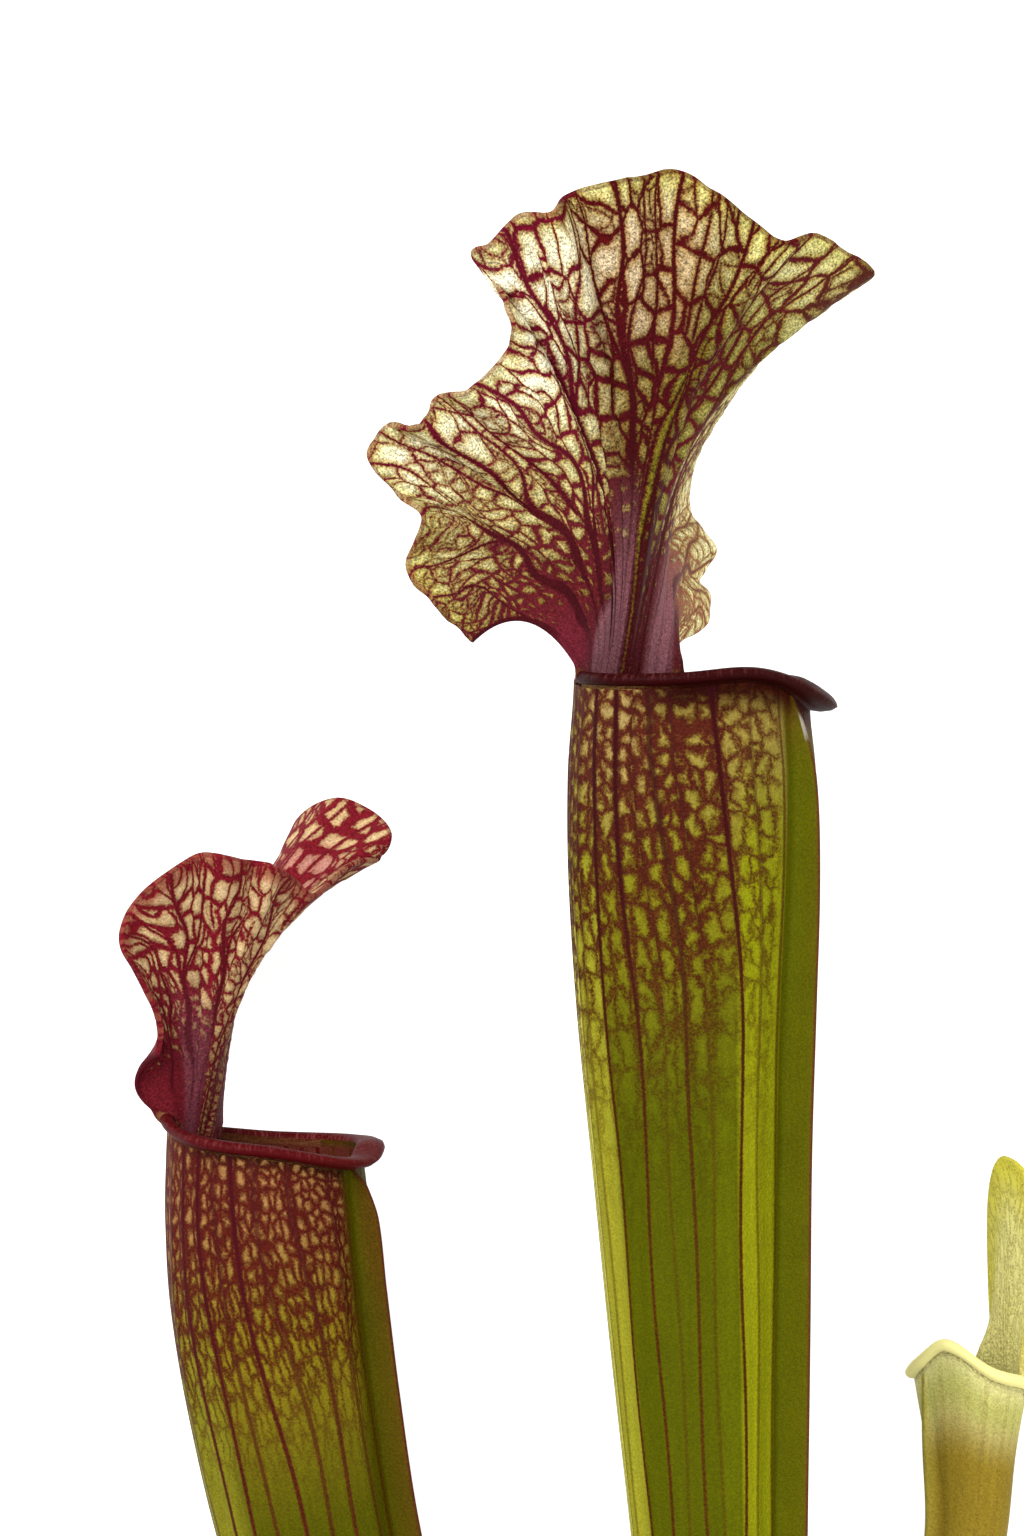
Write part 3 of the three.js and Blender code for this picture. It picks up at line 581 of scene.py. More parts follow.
def right_flood(share, out):
    return -0.1 + 0 * (share + out)


def tall_hood_colours(share, out, rest):
    middle = crest_share(out / (out + rest))
    green = band(share - middle, -0.3, 0.14, 0.16) * band(out, 12, 64, 20)
    shaded = shaded_middle(share, out)
    column = columns_of_neck(share, out)
    crest = np.exp(-(((share - middle) / 0.035) ** 2)) * smooth(out / 4) * rises(rest, 12, 12)
    flesh = paint(
        (160, 132, 62),
        (234, 222, 158, rises(out, 8, 26)),
        (300, 292, 256, rises(out, 32, 26) * rises(share, 0.12, 0.3)),
        (248, 238, 166, rises(out, 34, 30) * smooth((0.1 - share) / 0.24)),
        (160, 152, 52, 0.8 * green),
        (152, 128, 68, 0.9 * shaded),
        (228, 218, 104, smooth(1 - rest / 6) * 0.6),
        (224, 168, 150, 0.4 * band(share, 0.04, 0.26, 0.1) * band(rest, 4, 24, 10)),
        (290, 282, 214, smooth(1 - rest / 36) * smooth((-0.5 - share) / 0.2)),
        # The neck's pale mauve columns: partly the hairs' own colour, partly painted sheen
        (206, 172, 160, column),
        (146, 140, 40, crest),
    )
    stain = paint(
        (104, 30, 36),
        (124, 20, 44, rises(out, 18, 30)),
        (88, 14, 14, band(share, -0.12, 0.26, 0.14) * rises(out, 46, 14)),
        (94, 36, 18, smooth((-0.08 - share) / 0.12) * rises(out, 30, 20)),
        (68, 12, 8, 0.85 * shaded),
        (128, 40, 56, smooth(1 - out / 14) * rises(share, 0.3, 0.3)),
        (172, 104, 70, smooth((-0.5 - share) / 0.1) * rises(out, 8, 8)),
        # The same columns in the veins' colour, also partly painted sheen
        (164, 104, 112, column),
    )
    return flesh, stain


def left_hood_colours(share, out, rest):
    column = band(share, 0.38, 0.7, 0.16) * falls(out, 12, 16)
    flesh = paint(
        (184, 150, 98),
        (238, 204, 154, rises(out, 10, 20)),
        (146, 84, 92, 0.7 * column),
        (176, 84, 70, 0.75 * smooth(1.7 - rest / 2.0) * rises(share, -0.05, 0.1)),
        (206, 130, 128, 0.8 * smooth((-0.05 - share) / 0.1) * rises(rest, 6, 5)),
    )
    stain = paint((112, 26, 36), (132, 26, 38, rises(out, 10, 24)), (130, 66, 78, 0.8 * column))
    return flesh, stain


def right_hood_colours(share, out, rest):
    flesh = paint((284, 276, 176), (268, 258, 90, smooth(1 - rest / 12) * smooth(out / 10)))
    return flesh, paint(flesh, (196, 176, 78, 0.35))


def tall_tube_colours(degrees, depth):
    flank = band(degrees, -60, 8, 5)
    # Painted shadow: flesh and veins darkened on the tube just under the overhanging lip
    under = band(degrees, -40, 78, 34) * falls(depth, 1, 5)
    # Painted light: a lighter band on the facet beside the fold at 33 degrees, where the light falls
    painted_light_band = 0.75 * band(degrees, 9, 34, 3) + 0.25 * band(degrees, 23, 34, 3)
    flesh = paint(
        (160, 140, 64),
        (178, 150, 90, band(degrees, 78, 120, 16)),
        (142, 134, 26, rises(depth, 6, 24)),
        (90, 93, 0, rises(depth, 20, 50)),
        # The painted light on that facet
        (156, 158, 14, painted_light_band * rises(depth, 4, 30)),
        # Painted shade: a darker band on the other side of the fold at 33 degrees
        (104, 108, 2, band(degrees, 36, 49, 4) * rises(depth, 30, 40) * 0.7),
        # Painted light: the tube's left side made lighter, as where the light falls from the left
        (164, 160, 42, band(degrees, 106, 200, 4) * rises(depth, 10, 30)),
        (214, 208, 92, band(degrees, 128, 200, 8) * rises(depth, 16, 30)),
        (94, 96, 0, flank),
        (104, 70, 16, 0.8 * flank * (1 - smooth(depth / 14))),
        # The painted shadow under the lip
        (64, 20, 6, under),
    )
    green = np.maximum(flank, rises(depth, 14, 50))
    # The veins darken under the lip as painted shadow too
    return flesh, paint((84, 24, 18), (84, 44, 6, green), (44, 6, 2, under))


def left_tube_colours(degrees, depth):
    low = rises(depth, 10, 34)
    flank = band(degrees, -80, 14, 6)
    flesh = paint(
        (170, 122, 72),
        (140, 122, 24, rises(depth, 6, 22)),
        (86, 86, 0, rises(depth, 26, 34)),
        # Painted light: the tube's left side made lighter, as where the light falls from the left
        (138, 134, 28, band(degrees, 104, 200, 20) * low),
        (84, 78, 0, flank),
    )
    # Painted shadow: the veins darkened on the tube just under the overhanging lip
    under = band(degrees, -40, 110, 30) * (1 - smooth(depth / 3))
    return flesh, paint((88, 16, 14), (86, 34, 12, low), (84, 44, 6, flank), (46, 8, 2, under))


def right_tube_colours(degrees, depth):
    flesh = paint(
        (262, 254, 170),
        (168, 142, 44, rises(depth, 1, 13)),
        (180, 184, 60, band(depth, 2, 7, 4) * 0.5),
        (204, 178, 76, 0.7 * band(degrees, 50, 70, 14)),
    )
    return flesh, paint(flesh, (150, 116, 40, 0.5))


def net_share(spec, degrees):
    """How much of the net each side of a tube bears: little beside the wing."""
    share = lerp(0.08, spec["net_by_wing"], rises(degrees, 8, 8))
    share = lerp(share, 1, rises(degrees, 32, 22))
    return lerp(share, 1, smooth((-degrees - 60) / 20))


# The looks of each pitcher. Hood: cell_width to vein_dark. Tube: net_depth to patch_stretch.
# lip_colours: dark, light (a painted highlight on the top of the roll, broken into pale hair ticks), tip.
TALL.update(
    hood_colours=tall_hood_colours, tube_colours=tall_tube_colours, flood=tall_flood, columns=8,
    wing_colour=(96, 92, 6), ridge_colour=(116, 56, 26), wing_sliver=1, dark_throat=0.6,
    cell_width=3.9, cell_length=4.6, near_stretch=0.9, crest=(0.15, 0.6), crinkle=(0.14, 0.5),
    main_width=(0.95, 0.36), cracks=0.35, speckle=1.3, halo=0.9, vein_dark=(54, 6, 14),
    net_depth=(14, 96), net_by_wing=0.66, folds=(33, 124), soft=0.15, lines=1.0, line_low=0.38,
    line_top=0.85, patch_width=2.9, patch_length=2.5, patch_stretch=40,
    lip_colours=((50, 2, 4), (146, 74, 72), (56, 14, 4)),
)
LEFT.update(
    hood_colours=left_hood_colours, tube_colours=left_tube_colours, flood=left_flood, columns=8,
    wing_colour=(96, 70, 12), ridge_colour=(120, 48, 28), wing_sliver=0, dark_throat=0.95,
    cell_width=3.2, cell_length=4.0, near_stretch=0.75, crest=(-0.3, -0.3), crinkle=(0.05, 0.1),
    main_width=(0.65, 0.35), cracks=0.2, speckle=0.6, halo=0.55, vein_dark=(72, 10, 20),
    net_depth=(10, 66), net_by_wing=0.95, folds=(24, 130), soft=0.3, lines=1.0, line_low=0.5,
    line_top=0.8, patch_width=1.35, patch_length=1.9, patch_stretch=26,
    lip_colours=((84, 6, 12), (170, 84, 80), (92, 16, 14)),
)
RIGHT.update(
    hood_colours=right_hood_colours, tube_colours=right_tube_colours, flood=right_flood, columns=12,
    wing_colour=(190, 176, 70), ridge_colour=(190, 176, 70), wing_sliver=0, dark_throat=0,
    cell_width=3.4, cell_length=6.0, near_stretch=1, crest=(0.2, 0.3), crinkle=(0, 0),
    main_width=(0.3, 0.15), cracks=0.0, speckle=0.1, halo=0.0, vein_dark=(214, 198, 96),
    net_depth=(0, 1), net_by_wing=1, folds=(40,), soft=0.15, lines=0.5, line_low=0.6,
    line_top=0.9, patch_width=2.6, patch_length=3, patch_stretch=30,
    lip_colours=((290, 280, 184), (300, 294, 214), (290, 280, 184)),
)


# Pitchers


def fill_steps(values, parts):
    """The values with more between them."""
    values = np.asarray(values, float)
    places = np.linspace(0, len(values) - 1, (len(values) - 1) * parts + 1)
    return np.interp(places, np.arange(len(values)), values)


def lip_columns(spec):
    """The lip's columns: sideways offset, degrees, how far the degrees count, share of the wing."""
    reach = spec["wing_degrees"]
    limit = 180 - spec["neck_half"]
    count = int((limit - reach) / LIP_DEGREES_PER_COLUMN)
    steps = np.linspace(limit, reach, count + 1)[1:]
    edge = WING_PROFILE[-1][0]
    rows = [(0, -degrees, 1, 0) for degrees in steps]
    rows += [(-edge, -reach, share, 0) for share in (0.75, 0.5, 0.25)]
    rows += [(offset, 0, 0, height) for offset, height in WING_PROFILE]
    rows += [(edge, reach, share, 0) for share in (0.25, 0.5, 0.75)]
    rows += [(0, degrees, 1, 0) for degrees in steps[::-1]]
    return np.array(rows, float)


def column_degrees(columns, radius):
    """Degrees from the front of the lip's columns, at each tube radius."""
    radius = np.asarray(radius, float)[..., None]
    lateral = np.degrees(np.arcsin(np.clip(columns[:, 0] / radius, -1, 1)))
    return lerp(lateral, columns[:, 1], columns[:, 2])


def rest_on_floor(points, softness=FLOOR_SOFTNESS):
    """Keeps points above the floor, in the same order."""
    low = points[..., 2] < softness
    sunk = softness * np.exp(np.minimum(points[..., 2] / softness - 1, 0))
    points[..., 2] = np.where(low, sunk, points[..., 2])
    return points


def crinkle(spec, middle, normal, reach):
    """Small waves and notches of the hood's margin, by the length along it."""
    waves, notches = spec["crinkle"]
    step = np.linalg.norm(np.diff(middle[-1], axis=0, prepend=middle[-1, :1]), axis=-1)
    along = np.cumsum(step)
    swell = 0.55 + 0.45 * np.sin(along / 9.1 + 1.2 * np.sin(along / 23))
    wave = np.sin(along / 1.35 + 1.9 * np.sin(along / 6.7)) + 0.5 * np.sin(along / 0.62 + 2)
    scallop = -np.abs(np.sin(along / 2.9 + 1.3 * np.sin(along / 8.3))) ** 6
    outward = unit(middle[-1] - middle[-4])
    moved = middle + normal * (waves * swell * wave * reach**9)[..., None]
    return moved + outward[None] * (notches * swell * scallop * reach**14)[..., None]


def hood_fields(spec, share, reach):
    """The middle of the blade, its normals, and its values for the skin."""
    middle = blade_points(spec, share, reach)
    normal = blade_normals(spec, share, reach)
    middle = crinkle(spec, middle, normal, reach)
    ray = hood_ray(spec, share, reach)
    across = np.linalg.norm(np.gradient(middle, axis=1), axis=-1)
    gap = np.clip(across / np.maximum(np.abs(np.gradient(ray, axis=1)), 1e-4), 1, 30)
    step = np.linalg.norm(np.diff(middle, axis=0, prepend=middle[:1]), axis=-1)
    out = np.cumsum(step, axis=0)
    rest = out[-1] - out
    flesh, stain = spec["hood_colours"](share, out, rest)
    values = dict(ray=ray, gap=gap, out=out, rest=rest, flesh=flesh, stain=stain)
    values.update(hood=smooth(out / 2.5), net=np.ones(share.shape), flood=spec["flood"](share, out))
    values.update(weight=np.full(share.shape, LINE_STRENGTH))
    return middle, normal, values


def wall(spec, columns, shares, station, inner):
    """Points and values of the tube's outer or inner wall, one row for each station number."""
    at = frame_rows(spec, station)
    radius = at["radius"][:, None] - (TUBE_WALL if inner else 0)
    neck = np.broadcast_to(180 - shares * spec["neck_half"], (len(station), len(shares)))
    degrees = np.concatenate([neck, column_degrees(columns, radius[:, 0])], axis=1)
    degrees = np.where(degrees > 180, degrees - 360, degrees)
    height = np.concatenate([np.zeros(len(shares)), columns[:, 3]])
    wide = np.broadcast_to(radius, degrees.shape)
    depth = np.linalg.norm(at["centre"] - mouth_frame(spec)["centre"], axis=-1)
    depth = np.broadcast_to(depth, degrees.shape)
    ray = tube_ray(spec, degrees, depth)
    if not inner:
        grown = smooth(radius / 9 - 0.4) * smooth(depth / 8)
        wide = wide + RIB_HEIGHT * np.cos(2 * math.pi * ray) * grown
        for fold in spec["folds"]:
            crest = np.exp(-(((degrees - fold) / FOLD_DEGREES) ** 2))
            wide = wide + FOLD_HEIGHT * crest * smooth(depth / 30) * grown
    points = ring_point(at, np.radians(degrees), wide)
    if not inner:
        points = points + at["front"] * (at["wing"][:, None] * height)[..., None]
    step = np.abs(np.gradient(np.radians(np.unwrap(degrees, period=360, axis=1)), axis=1)) * radius
    gap = np.clip(step / np.maximum(np.abs(np.gradient(ray, axis=1)), 1e-3), 1.5, 7)
    flesh, stain = spec["tube_colours"](degrees, depth)
    start, end = spec["net_depth"]
    net = falls(depth, start, end - start) * (1 - smooth(height * 4)) * net_share(spec, degrees)
    strengths = np.full(MOST_VEINS, LINE_STRENGTH)
    for _, number, strength in spec["tube_veins"]:
        strengths[number] = strength
    weight = strengths[np.round(np.abs(ray)).astype(int)]
    if inner:
        throat = falls(depth, 6, 18) * spec["dark_throat"]
        flesh = paint(flesh, (178, 160, 92, 0.7), (104, 36, 34, throat))
    else:
        ridge = 0.85 * rises(height, 0.95, 0.05)
        sliver = rises(height, 0.85, 0.1) * band(depth, 3.5, 7, 2) * spec["wing_sliver"]
        flesh = paint(flesh, (*spec["wing_colour"], 0.7 * height), (*spec["ridge_colour"], ridge))
        flesh = paint(flesh, (196, 186, 172, sliver))
    net = 0.3 * net if inner else net
    values = dict(ray=ray, gap=gap, out=depth, rest=FAR_INSIDE, hood=0, net=net, weight=weight)
    return points, dict(values, flesh=flesh, stain=stain)


def pitcher(spec):
    """One closed skin: the tube's two walls, the lip's roll, and the hood's two faces and edge."""
    skin = Skin(SCALARS, COLOURS)
    shares = fill_steps([row[0] for row in spec["margin"]], spec["columns"])
    reaches = np.linspace(0, 1, HOOD_ROWS + 1)
    share, reach = np.meshgrid(shares, reaches)
    mouth = mouth_frame(spec)
    columns = lip_columns(spec)

    # The blade's two faces
    middle, normal, values = hood_fields(spec, share, reach)
    keel = keel_offset(spec, share, reach)
    folded = smooth(reach / NECK_BACK_START)
    back = middle + normal * (keel * folded - HOOD_THICKNESS / 2)[..., None]
    face = middle + normal * (keel + HOOD_THICKNESS / 2)[..., None]

    # The rounded edge: up the near side, round the margin and down the far side
    rows = np.arange(HOOD_ROWS)
    wide = np.arange(len(shares))
    path = np.concatenate([rows, np.full(len(shares), HOOD_ROWS), rows[::-1]])
    along = np.concatenate([0 * rows, wide, 0 * rows + wide[-1]])
    path_share, path_reach = shares[along], reaches[path]
    lower_reach = np.where(path_reach == 1, JUST_INSIDE, path_reach)
    inside = blade_points(spec, path_share * JUST_INSIDE, lower_reach)
    edge = blade_points(spec, path_share, path_reach)
    outward = unit(edge - inside)
    turn = np.linspace(0, math.pi, EDGE_STEPS + 1)[:, None, None]
    centre = (back[path, along] + face[path, along]) / 2
    half = back[path, along] - centre
    thick = np.linalg.norm(half, axis=-1, keepdims=True)
    profile = centre + half * np.cos(turn) + outward * thick * np.sin(turn)
    for side, place in ((1, slice(0, HOOD_ROWS)), (-1, slice(-HOOD_ROWS, None))):
        column = 0 if side > 0 else -1
        roll = lip_profile(spec, [neck_angle(spec, float(side))])
        carried = roll + (edge[place] - edge[place][column])[None]
        settled = smooth(path_reach[place] / CORNER_REACH)[None, :, None]
        profile[:, place] = lerp(carried, profile[:, place], settled)
        fade = np.exp(-(((1 - side * shares) / CORNER_SHARE) ** 2))[None, :, None]
        for sheet, end in ((back, 0), (face, -1)):
            move = profile[end, place][::side] - sheet[:-1, column]
            sheet[:-1] += move[:, None] * fade
    back_rows = skin.add(rest_on_floor(back), face=0, **values)
    face_rows = skin.add(rest_on_floor(face), face=1, **values)
    edge_values = {name: value[path, along] for name, value in values.items()}
    between = skin.add(rest_on_floor(profile[1:-1]), face=0.5, rim=1, **edge_values)
    strip = np.concatenate([back_rows[path, along][None], between, face_rows[path, along][None]])
    skin.sheet(strip, flip=True)
    skin.sheet(back_rows, flip=True)
    skin.sheet(face_rows)

    # The lip's roll, between the hood's two lower corners
    degrees = column_degrees(columns, mouth["radius"])
    roll = lip_profile(spec, np.radians(np.where(degrees < 0, degrees + 360, degrees)))
    round_roll = np.linspace(0, 1, EDGE_STEPS + 1)[:, None]
    spout = np.exp(-(((degrees - spec["spout_angle"]) / spec["spout_width"]) ** 2))
    flesh, stain = spec["tube_colours"](degrees, 0 * degrees)
    roll_values = dict(ray=degrees / LIP_TICK_DEGREES, gap=4, rest=FAR_INSIDE, net=1)
    roll_values.update(around=round_roll, spout=spout, flesh=flesh, stain=stain)
    roll_rows = skin.add(roll, **roll_values)
    skin.sheet(np.concatenate([strip[:, -1:], roll_rows, strip[:, :1]], axis=1), flip=True, slot=1)

    # The tube's walls, which rise to the lip's roll and the hood's faces
    last = len(spec["stations"]) - 1
    coarse = shares[::TUBE_SHARE]
    for inner, neck_points, neck_rows, k in ((False, back, back_rows, 0), (True, face, face_rows, -1)):
        first = spec["inner_floor"] if inner else 0
        parts = INNER_ROWS_PER_STATION if inner else ROWS_PER_STATION
        station = np.linspace(first, last, (last - first) * parts + 1)
        points, wall_values = wall(spec, columns, coarse, station, inner)
        target = np.concatenate([neck_points[0, ::TUBE_SHARE], roll[k]])
        rise = smooth((station - last + RIM_STATIONS) / RIM_STATIONS)
        points = points + (target - points[-1])[None] * rise[:, None, None]
        lower = {}
        for name, value in wall_values.items():
            value = np.asarray(value, float)
            lower[name] = value[:-1] if value.ndim > 1 else value
        index = skin.add(rest_on_floor(points[:-1]), face=float(inner), **lower)
        skin.sheet(index, flip=not inner, closed=True)
        skin.cap(index[0], flip=inner)
        skin.stitch(index[-1][: len(coarse)], neck_rows[0], TUBE_SHARE, flip=inner)
        lip_ring = np.concatenate([neck_rows[0][-1:], roll_rows[k], neck_rows[0][:1]])
        under = np.concatenate([index[-1][len(coarse) - 1 :], index[-1][:1]])
        skin.sheet(np.stack([under, lip_ring]), flip=not inner)
    return skin


# Materials


class Value:
    """An output of a node, which can be reckoned with."""

    def __init__(self, socket):
        self.socket = socket

    def __add__(self, other):
        return maths("ADD", self, other)

    def __sub__(self, other):
        return maths("SUBTRACT", self, other)

    def __rsub__(self, other):
        return maths("SUBTRACT", other, self)

    def __mul__(self, other):
        return maths("MULTIPLY", self, other)

    def __truediv__(self, other):
        return maths("DIVIDE", self, other)

    def __abs__(self):
        return maths("ABSOLUTE", self)

    def ramp(self, low, high, start=0.0, end=1.0):
        """A smooth step from start at low to end at high."""
        inputs = dict(enumerate((self, low, high, start, end)))
        return node("ShaderNodeMapRange", inputs, interpolation_type="SMOOTHSTEP")


def fill(socket, value):
    """Gives an input its value, or links it to another node's output."""
    if isinstance(value, Value):
        socket.id_data.links.new(value.socket, socket)
    else:
        socket.default_value = value


def node(kind, inputs, output=0, tree=None, **settings):
    """An output of a new node, whose inputs are given by number or name."""
    tree = tree or next(value.socket.id_data for value in inputs.values() if isinstance(value, Value))
    new = tree.nodes.new(kind)
    for name, value in settings.items():
        setattr(new, name, value)
    for name, value in inputs.items():
        fill(new.inputs[name], value)
    return Value(new.outputs[output])


def maths(operation, *values):
    return node("ShaderNodeMath", dict(enumerate(values)), operation=operation)


def least(first, second):
    return maths("MINIMUM", first, second)


def most(first, second):
    return maths("MAXIMUM", first, second)


def vector(x, y, z=0.0):
    return node("ShaderNodeCombineXYZ", {0: x, 1: y, 2: z})


def scaled(place, scale):
    return node("ShaderNodeVectorMath", {0: place, "Scale": scale}, operation="SCALE")


def stretched(place, scales):
    return node("ShaderNodeVectorMath", {0: place, 1: scales}, operation="MULTIPLY")


def moved(place, offset):
    return node("ShaderNodeVectorMath", {0: place, 1: offset}, operation="ADD")


def blend(share, first, second):
    return node("ShaderNodeMix", {0: share, 2: first, 3: second}, data_type="FLOAT")


def mix(share, first, second, kind="MIX"):
    return node("ShaderNodeMix", {0: share, 6: first, 7: second}, 2, data_type="RGBA", blend_type=kind)


def shaded(colour, shade):
    return mix(1.0, colour, vector(shade, shade, shade), "MULTIPLY")


def noise(place, scale, detail=2.0, rough=0.5):
    inputs = {"Vector": place, "Scale": scale, "Detail": detail, "Roughness": rough}
    return node("ShaderNodeTexNoise", inputs)


def draw_for(value):
    """A fixed draw from 0 to 1 for each whole number."""
    return node("ShaderNodeTexWhiteNoise", {"W": value}, "Value", noise_dimensions="1D")


def from_cell(place, feature="F1"):
    """The distance from the point of a cell in a pattern of cells."""
    inputs = {"Vector": place, "Scale": 1, "Randomness": 0.85}
    return node("ShaderNodeTexVoronoi", inputs, "Distance", feature=feature, voronoi_dimensions="2D")


def cell_edge(place):
    """The distance from the edge of a cell."""
    return from_cell(place, "DISTANCE_TO_EDGE")


def cell_draw(distance):
    """A draw for each cell of the same pattern."""
    return Value(distance.socket.node.outputs["Color"])


class Shader:
    """A material with one Principled surface."""

    def __init__(self, name):
        self.material = bpy.data.materials.new(name)
        self.material.use_nodes = True
        self.tree = self.material.node_tree
        self.tree.nodes.clear()
        self.surface = self.tree.nodes.new("ShaderNodeBsdfPrincipled")
        output = self.tree.nodes.new("ShaderNodeOutputMaterial")
        fill(output.inputs["Surface"], Value(self.surface.outputs["BSDF"]))

    def set(self, name, value):
        fill(self.surface.inputs[name], value)

    def read(self, name, output="Fac"):
        return node("ShaderNodeAttribute", {}, output, self.tree, attribute_name=name)

    def place(self):
        """The position in millimetres."""
        return scaled(node("ShaderNodeTexCoord", {}, "Object", self.tree), 1 / MM)

    def done(self, colour, roughness, specular, height, distance, strength):
        """The material, with its surface's main values and a bump of a height."""
        self.set("Base Color", colour)
        self.set("Roughness", roughness)
        self.set("Specular IOR Level", specular)
        bump = {"Height": height, "Distance": distance, "Strength": strength}
        self.set("Normal", node("ShaderNodeBump", bump))
        return self.material


class Relief:
    """A modifier that moves the vertices along their normals."""

    def __init__(self, name):
        self.tree = bpy.data.node_groups.new(name, "GeometryNodeTree")
        for way in ("INPUT", "OUTPUT"):
            self.tree.interface.new_socket("Geometry", in_out=way, socket_type="NodeSocketGeometry")

    def read(self, name):
        kind = "GeometryNodeInputNamedAttribute"
        return node(kind, {"Name": name}, "Attribute", self.tree, data_type="FLOAT")

    def place(self):
        return scaled(node("GeometryNodeInputPosition", {}, tree=self.tree), 1 / MM)

    def raise_by(self, height):
        start = node("NodeGroupInput", {}, tree=self.tree)
        normal = node("GeometryNodeInputNormal", {}, tree=self.tree)
        raised = node("GeometryNodeSetPosition", {"Geometry": start, "Offset": scaled(normal, height)})
        fill(self.tree.nodes.new("NodeGroupOutput").inputs[0], raised)

    def apply(self, thing):
        thing.modifiers.new("relief", "NODES").node_group = self.tree
        ready = thing.evaluated_get(bpy.context.evaluated_depsgraph_get())
        mesh = bpy.data.meshes.new_from_object(ready)
        thing.modifiers.clear()
        thing.data = mesh


def colour4(red, green, blue):
    return (*linear_colour(red, green, blue), 1)


def hood_net(nodes, spec):
    """Signed millimetres to the edge of the veins and of the main ones, a draw per cell, and the cells."""
    place = nodes.place()
    ray, gap, out, rest = (nodes.read(name) for name in ("ray", "gap", "out", "rest"))
    sector = maths("FLOOR", ray)
    inside = ray - sector
    size = out.ramp(2, 62, 0.42, 1.1) * spec["cell_width"]
    side_wander = noise(place, 0.3) * WANDER - WANDER / 2
    long_wander = noise(moved(place, (31, 7, 13)), 0.3) * WANDER - WANDER / 2
    x = ((inside - 0.5) * gap + side_wander) / size
    y = maths("LOGARITHM", (out + long_wander) / HOOD_STRETCH + 0.3, math.e)
    y = y * (2 * HOOD_STRETCH / spec["cell_length"]) * sector.ramp(0.5, 3, 1.0, spec["near_stretch"])
    cells = vector(x + sector * SECTOR_STEP[0], y + sector * SECTOR_STEP[1])
    border = cell_edge(cells) * size
    draw = cell_draw(from_cell(cells))

    # The neck's dark, with islands left in it
    neck = nodes.read("flood") * (draw * 0.9 + 0.55)
    width = (noise(place, 0.4) * 0.5 + 0.07) * (draw * 0.5 + 0.75)
    net = border - width - neck

    # Small cells between the large ones
    small = cell_edge(moved(scaled(cells, SMALL_CELLS), (3.3, 5.1, 0))) * size / SMALL_CELLS
    small = small - (width * 0.5 - 0.02) + draw.ramp(0.28, 0.36) - neck * 0.7
    net = least(net, small)

    # Main veins at whole numbers, each with forks towards the margin
    gone = out / most(out + rest, 1.0)
    off = least(inside, 1.0 - inside)
    main = off * gap - gone.ramp(0.1, 0.8, *spec["main_width"]) * gap.ramp(1.5, 6, 0.3, 1)
    start = draw_for(maths("ROUND", ray)) * 0.3 + 0.3
    path = (gone - start).ramp(0.0, 0.34, 0.0, 0.4)
    fork = abs(off - path) * gap - gone.ramp(0.2, 1.0, 0.5, 0.2) + gap.ramp(3, 6, 1.5, 0)
    main = least(main, fork)

    # The green midrib with its dark borders
    from_crest = gone.ramp(0.3, 1.0, 10 * CREST_SHARE, 10 * (CREST_SHARE - CREST_SWING))
    from_crest = abs((ray - from_crest) * gap)
    crest = out.ramp(14, 46, *spec["crest"]) * gone.ramp(0.5, 0.7, 1.0, 0.0)
    borders = from_crest - (crest + 0.45) + gone.ramp(0.6, 0.85, 0.0, 2.0)
    on_crest = crest - from_crest
    main = most(least(main, borders), on_crest)
    stain = most(least(net, main), on_crest)
    return stain, main, draw, cells


def hood_relief(spec):
    """Puffs up the hood's cells between the veins."""
    nodes = Relief(spec["name"] + "_relief")
    out, rest, hood, face = (nodes.read(name) for name in ("out", "rest", "hood", "face"))
    puff = hood_net(nodes, spec)[0].ramp(-0.5, 1.2, PUFF_LOW, PUFF_HIGH)
    puff = puff * out.ramp(1, 14) * rest.ramp(0.5, 4) * hood
    nodes.raise_by(puff * (face * (2 * MM) - MM))
    return nodes


